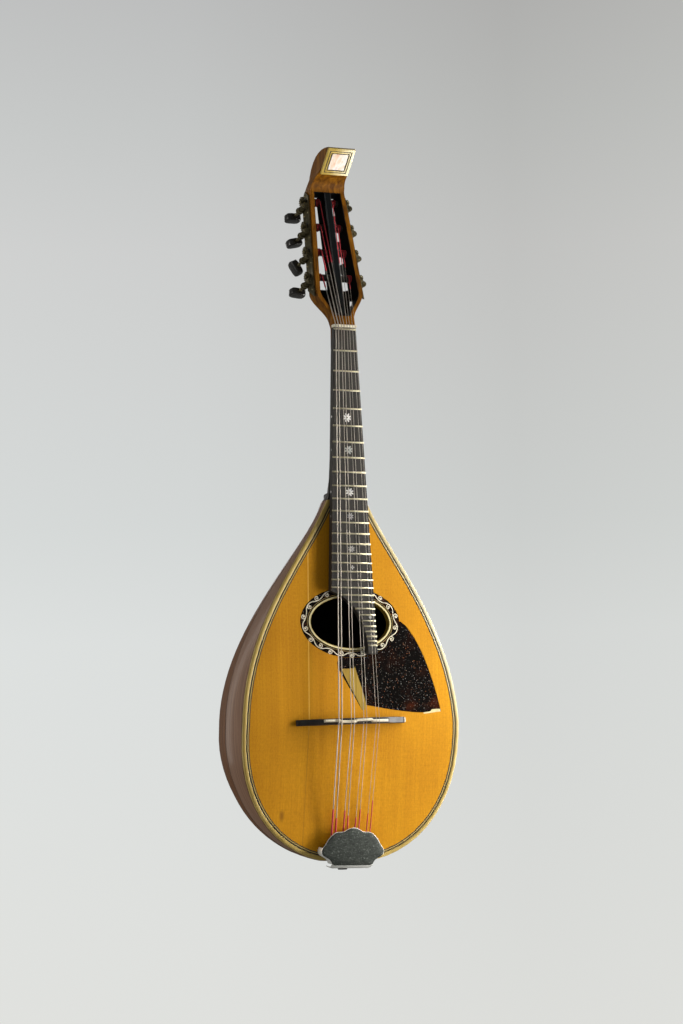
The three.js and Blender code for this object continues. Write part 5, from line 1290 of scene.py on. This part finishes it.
# %% Bridge
ASKEW = math.radians(2.05)
BRIDGE_MIDDLE = (-2.6, -331.6)
BAR_HALF = 49.5
BAR_WIDTH = 5.0
askew = shift(BRIDGE_MIDDLE[0], 0.0, BRIDGE_MIDDLE[1]) @ turn(-ASKEW, "Y")
form = bmesh.new()
rising = ((1.0, 0.3), (1.0, 1.9), (0.985, 3.0), (0.95, 3.7), (0.86, 4.5), (0.76, 6.2), (0.68, 7.6), (0.62, 8.4))
section = [(BAR_HALF * share, height) for share, height in rising]
arch = [(BAR_HALF * 0.6 * math.cos(math.pi * step / 10), 0.3 + 1.5 * math.sin(math.pi * step / 10))
        for step in range(11)]
corners = section + [(-x, height) for x, height in reversed(section)] + arch[::-1]
raise_plate(form, [flat_face(form, corners)], BAR_WIDTH)
rim = [e for e in form.edges if e.calc_length() < BAR_WIDTH - 0.1 or abs(e.verts[0].co.z - e.verts[1].co.z) < 0.1]
upper_rim = [e for e in rim if min(v.co.y for v in e.verts) > 1.95 or abs(e.verts[0].co.x) > BAR_HALF - 0.1]
round_edges(form, upper_rim, 1.2, 3)
outward(form)
place(form, form.verts[:], askew @ turn(math.pi, "Z") @ shift(0.0, 0.0, -BAR_WIDTH / 2))
make("bridge_bar", form, (bridge_ebony,), replaces=("bridge",))

# A small bone block on the treble end of the bar only is a painted highlight, where that end catches the light.
form = bmesh.new()
bar(form, (1.3, 1.9, 4.0), (BAR_HALF + 0.5, -1.35, 0.0), askew)
round_edges(form, form.edges[:], 0.5, 2)
make("bridge_tip_painted_highlight", form, (bone,))

# %% Saddle
SADDLE_PLACES = (-29.3, -14.4, 0.2, 14.6, 29.6)
SADDLE_STEP = 0.55
SADDLE_SLANT = 0.7
SADDLE_HALF = 1.1
SADDLE_HEIGHT = 3.85
form = bmesh.new()
low_edge = []
for index, (x, next_x) in enumerate(zip(SADDLE_PLACES, SADDLE_PLACES[1:])):
    step = -SADDLE_STEP if index % 2 else SADDLE_STEP
    low_edge += [(x + SADDLE_SLANT, step), (next_x - SADDLE_SLANT, step)]
corners = [(x, z - SADDLE_HALF) for x, z in low_edge] + [(x, z + SADDLE_HALF) for x, z in reversed(low_edge)]
raise_plate(form, [flat_face(form, corners)], SADDLE_HEIGHT)
round_edges(form, [e for e in form.edges if all(v.co.z > SADDLE_HEIGHT - 0.05 for v in e.verts)], 0.7, 3)
place(form, form.verts[:], askew @ shift(1.0, -8.4, 0.0) @ UPRIGHT)
make("saddle_bone", form, (bone,), replaces=("saddle",))

# %% [markdown]
# The tailpiece cover is a pressed plate with a cloud outline. Its edge is turned over, and at the tail it is
# rolled into a lip. The turned edge, the wall and the lip are near-white nickel, a painted highlight. The outline
# is one flat face. Insets draw the turned edge and dome the plate, the edge below the shoulders is extruded into
# a wall, and the bottom edge is extruded in steps into the lip.

# %% Tailpiece cover
COVER_MIDDLE = 0.9
COVER_FACE = 8.1
CLOUD = ((0.0, 28.1), (3.4, 27.5), (6.3, 26.1), (8.4, 24.8), (11.2, 24.4), (14.6, 24.4), (17.2, 23.6), (20.2, 21.2),
         (22.9, 18.2), (24.6, 15.2), (25.7, 13.4), (27.7, 11.3), (28.8, 8.6), (28.5, 6.2), (27.0, 4.3), (24.2, 2.9),
         (21.4, 1.3), (19.8, -0.6), (18.9, -2.4), (16.4, -3.6))
WALL_TOP = 12.0
WALL_LOW = -3.5
LIP_TOP = -2.0
DOME_MIDDLE = shift(0.0, -11.0, 0.0)
DOME_STEPS = ((0.985, 0.45), (0.96, 0.2), (0.85, 0.3), (0.62, 0.35))
WALL_DEPTH = 7.6
COVER_THICKNESS = 0.45
LIP_STEPS = ((-0.45, -0.9), (-0.8, -0.8), (-1.2, -0.7), (-1.6, -0.35), (-3.2, 0.0), (-4.2, 0.1))
form = bmesh.new()
plate = flat_face(form, [*CLOUD, *((-x, z) for x, z in reversed(CLOUD[1:]))])
form.normal_update()
if plate.normal.z < 0.0:
    plate.normal_flip()
wall_edges, lip_edges = [], []
for edge in plate.edges:
    low, high = sorted(v.co.y for v in edge.verts)
    if high < LIP_TOP:
        lip_edges.append(edge)
    elif high < WALL_TOP and low > WALL_LOW:
        wall_edges.append(edge)
highlight_faces = []
for scale, rise in DOME_STEPS:
    plate = bmesh.ops.extrude_discrete_faces(form, faces=[plate])["faces"][0]
    if not highlight_faces:
        highlight_faces = [f for e in plate.edges for f in e.link_faces if f is not plate]
    bmesh.ops.scale(form, vec=(scale, scale, 1.0), space=DOME_MIDDLE, verts=plate.verts)
    bmesh.ops.translate(form, vec=(0.0, 0.0, rise), verts=plate.verts)
wall = bmesh.ops.extrude_edge_only(form, edges=wall_edges)["geom"]
bmesh.ops.translate(form, vec=(0.0, 0.0, -WALL_DEPTH), verts=only(bmesh.types.BMVert, wall))
highlight_faces += only(bmesh.types.BMFace, wall)
for deep, down in LIP_STEPS:
    rolled = bmesh.ops.extrude_edge_only(form, edges=lip_edges)["geom"]
    lip_edges = [e for e in only(bmesh.types.BMEdge, rolled)
                 if all(v in rolled for v in e.verts) and abs(e.verts[0].co.z - e.verts[1].co.z) < 0.01]
    lip_verts = list({v for e in lip_edges for v in e.verts})
    bmesh.ops.translate(form, vec=(0.0, down, deep), verts=lip_verts)
    highlight_faces += only(bmesh.types.BMFace, rolled)
# The turned edge, the wall and the lip take the painted highlight.
for face in highlight_faces:
    face.material_index = 1
outward(form)
bmesh.ops.solidify(form, geom=form.faces[:], thickness=COVER_THICKNESS)
place(form, form.verts[:], TAIL @ shift(COVER_MIDDLE, -COVER_FACE, 0.0) @ UPRIGHT)
cover = make("tail_cover", form, (cover_nickel, nickel_painted_highlight),
             replaces=("tailpiece_cover",), sharp=50.0)
print("cover:", len(cover.data.polygons), "faces")
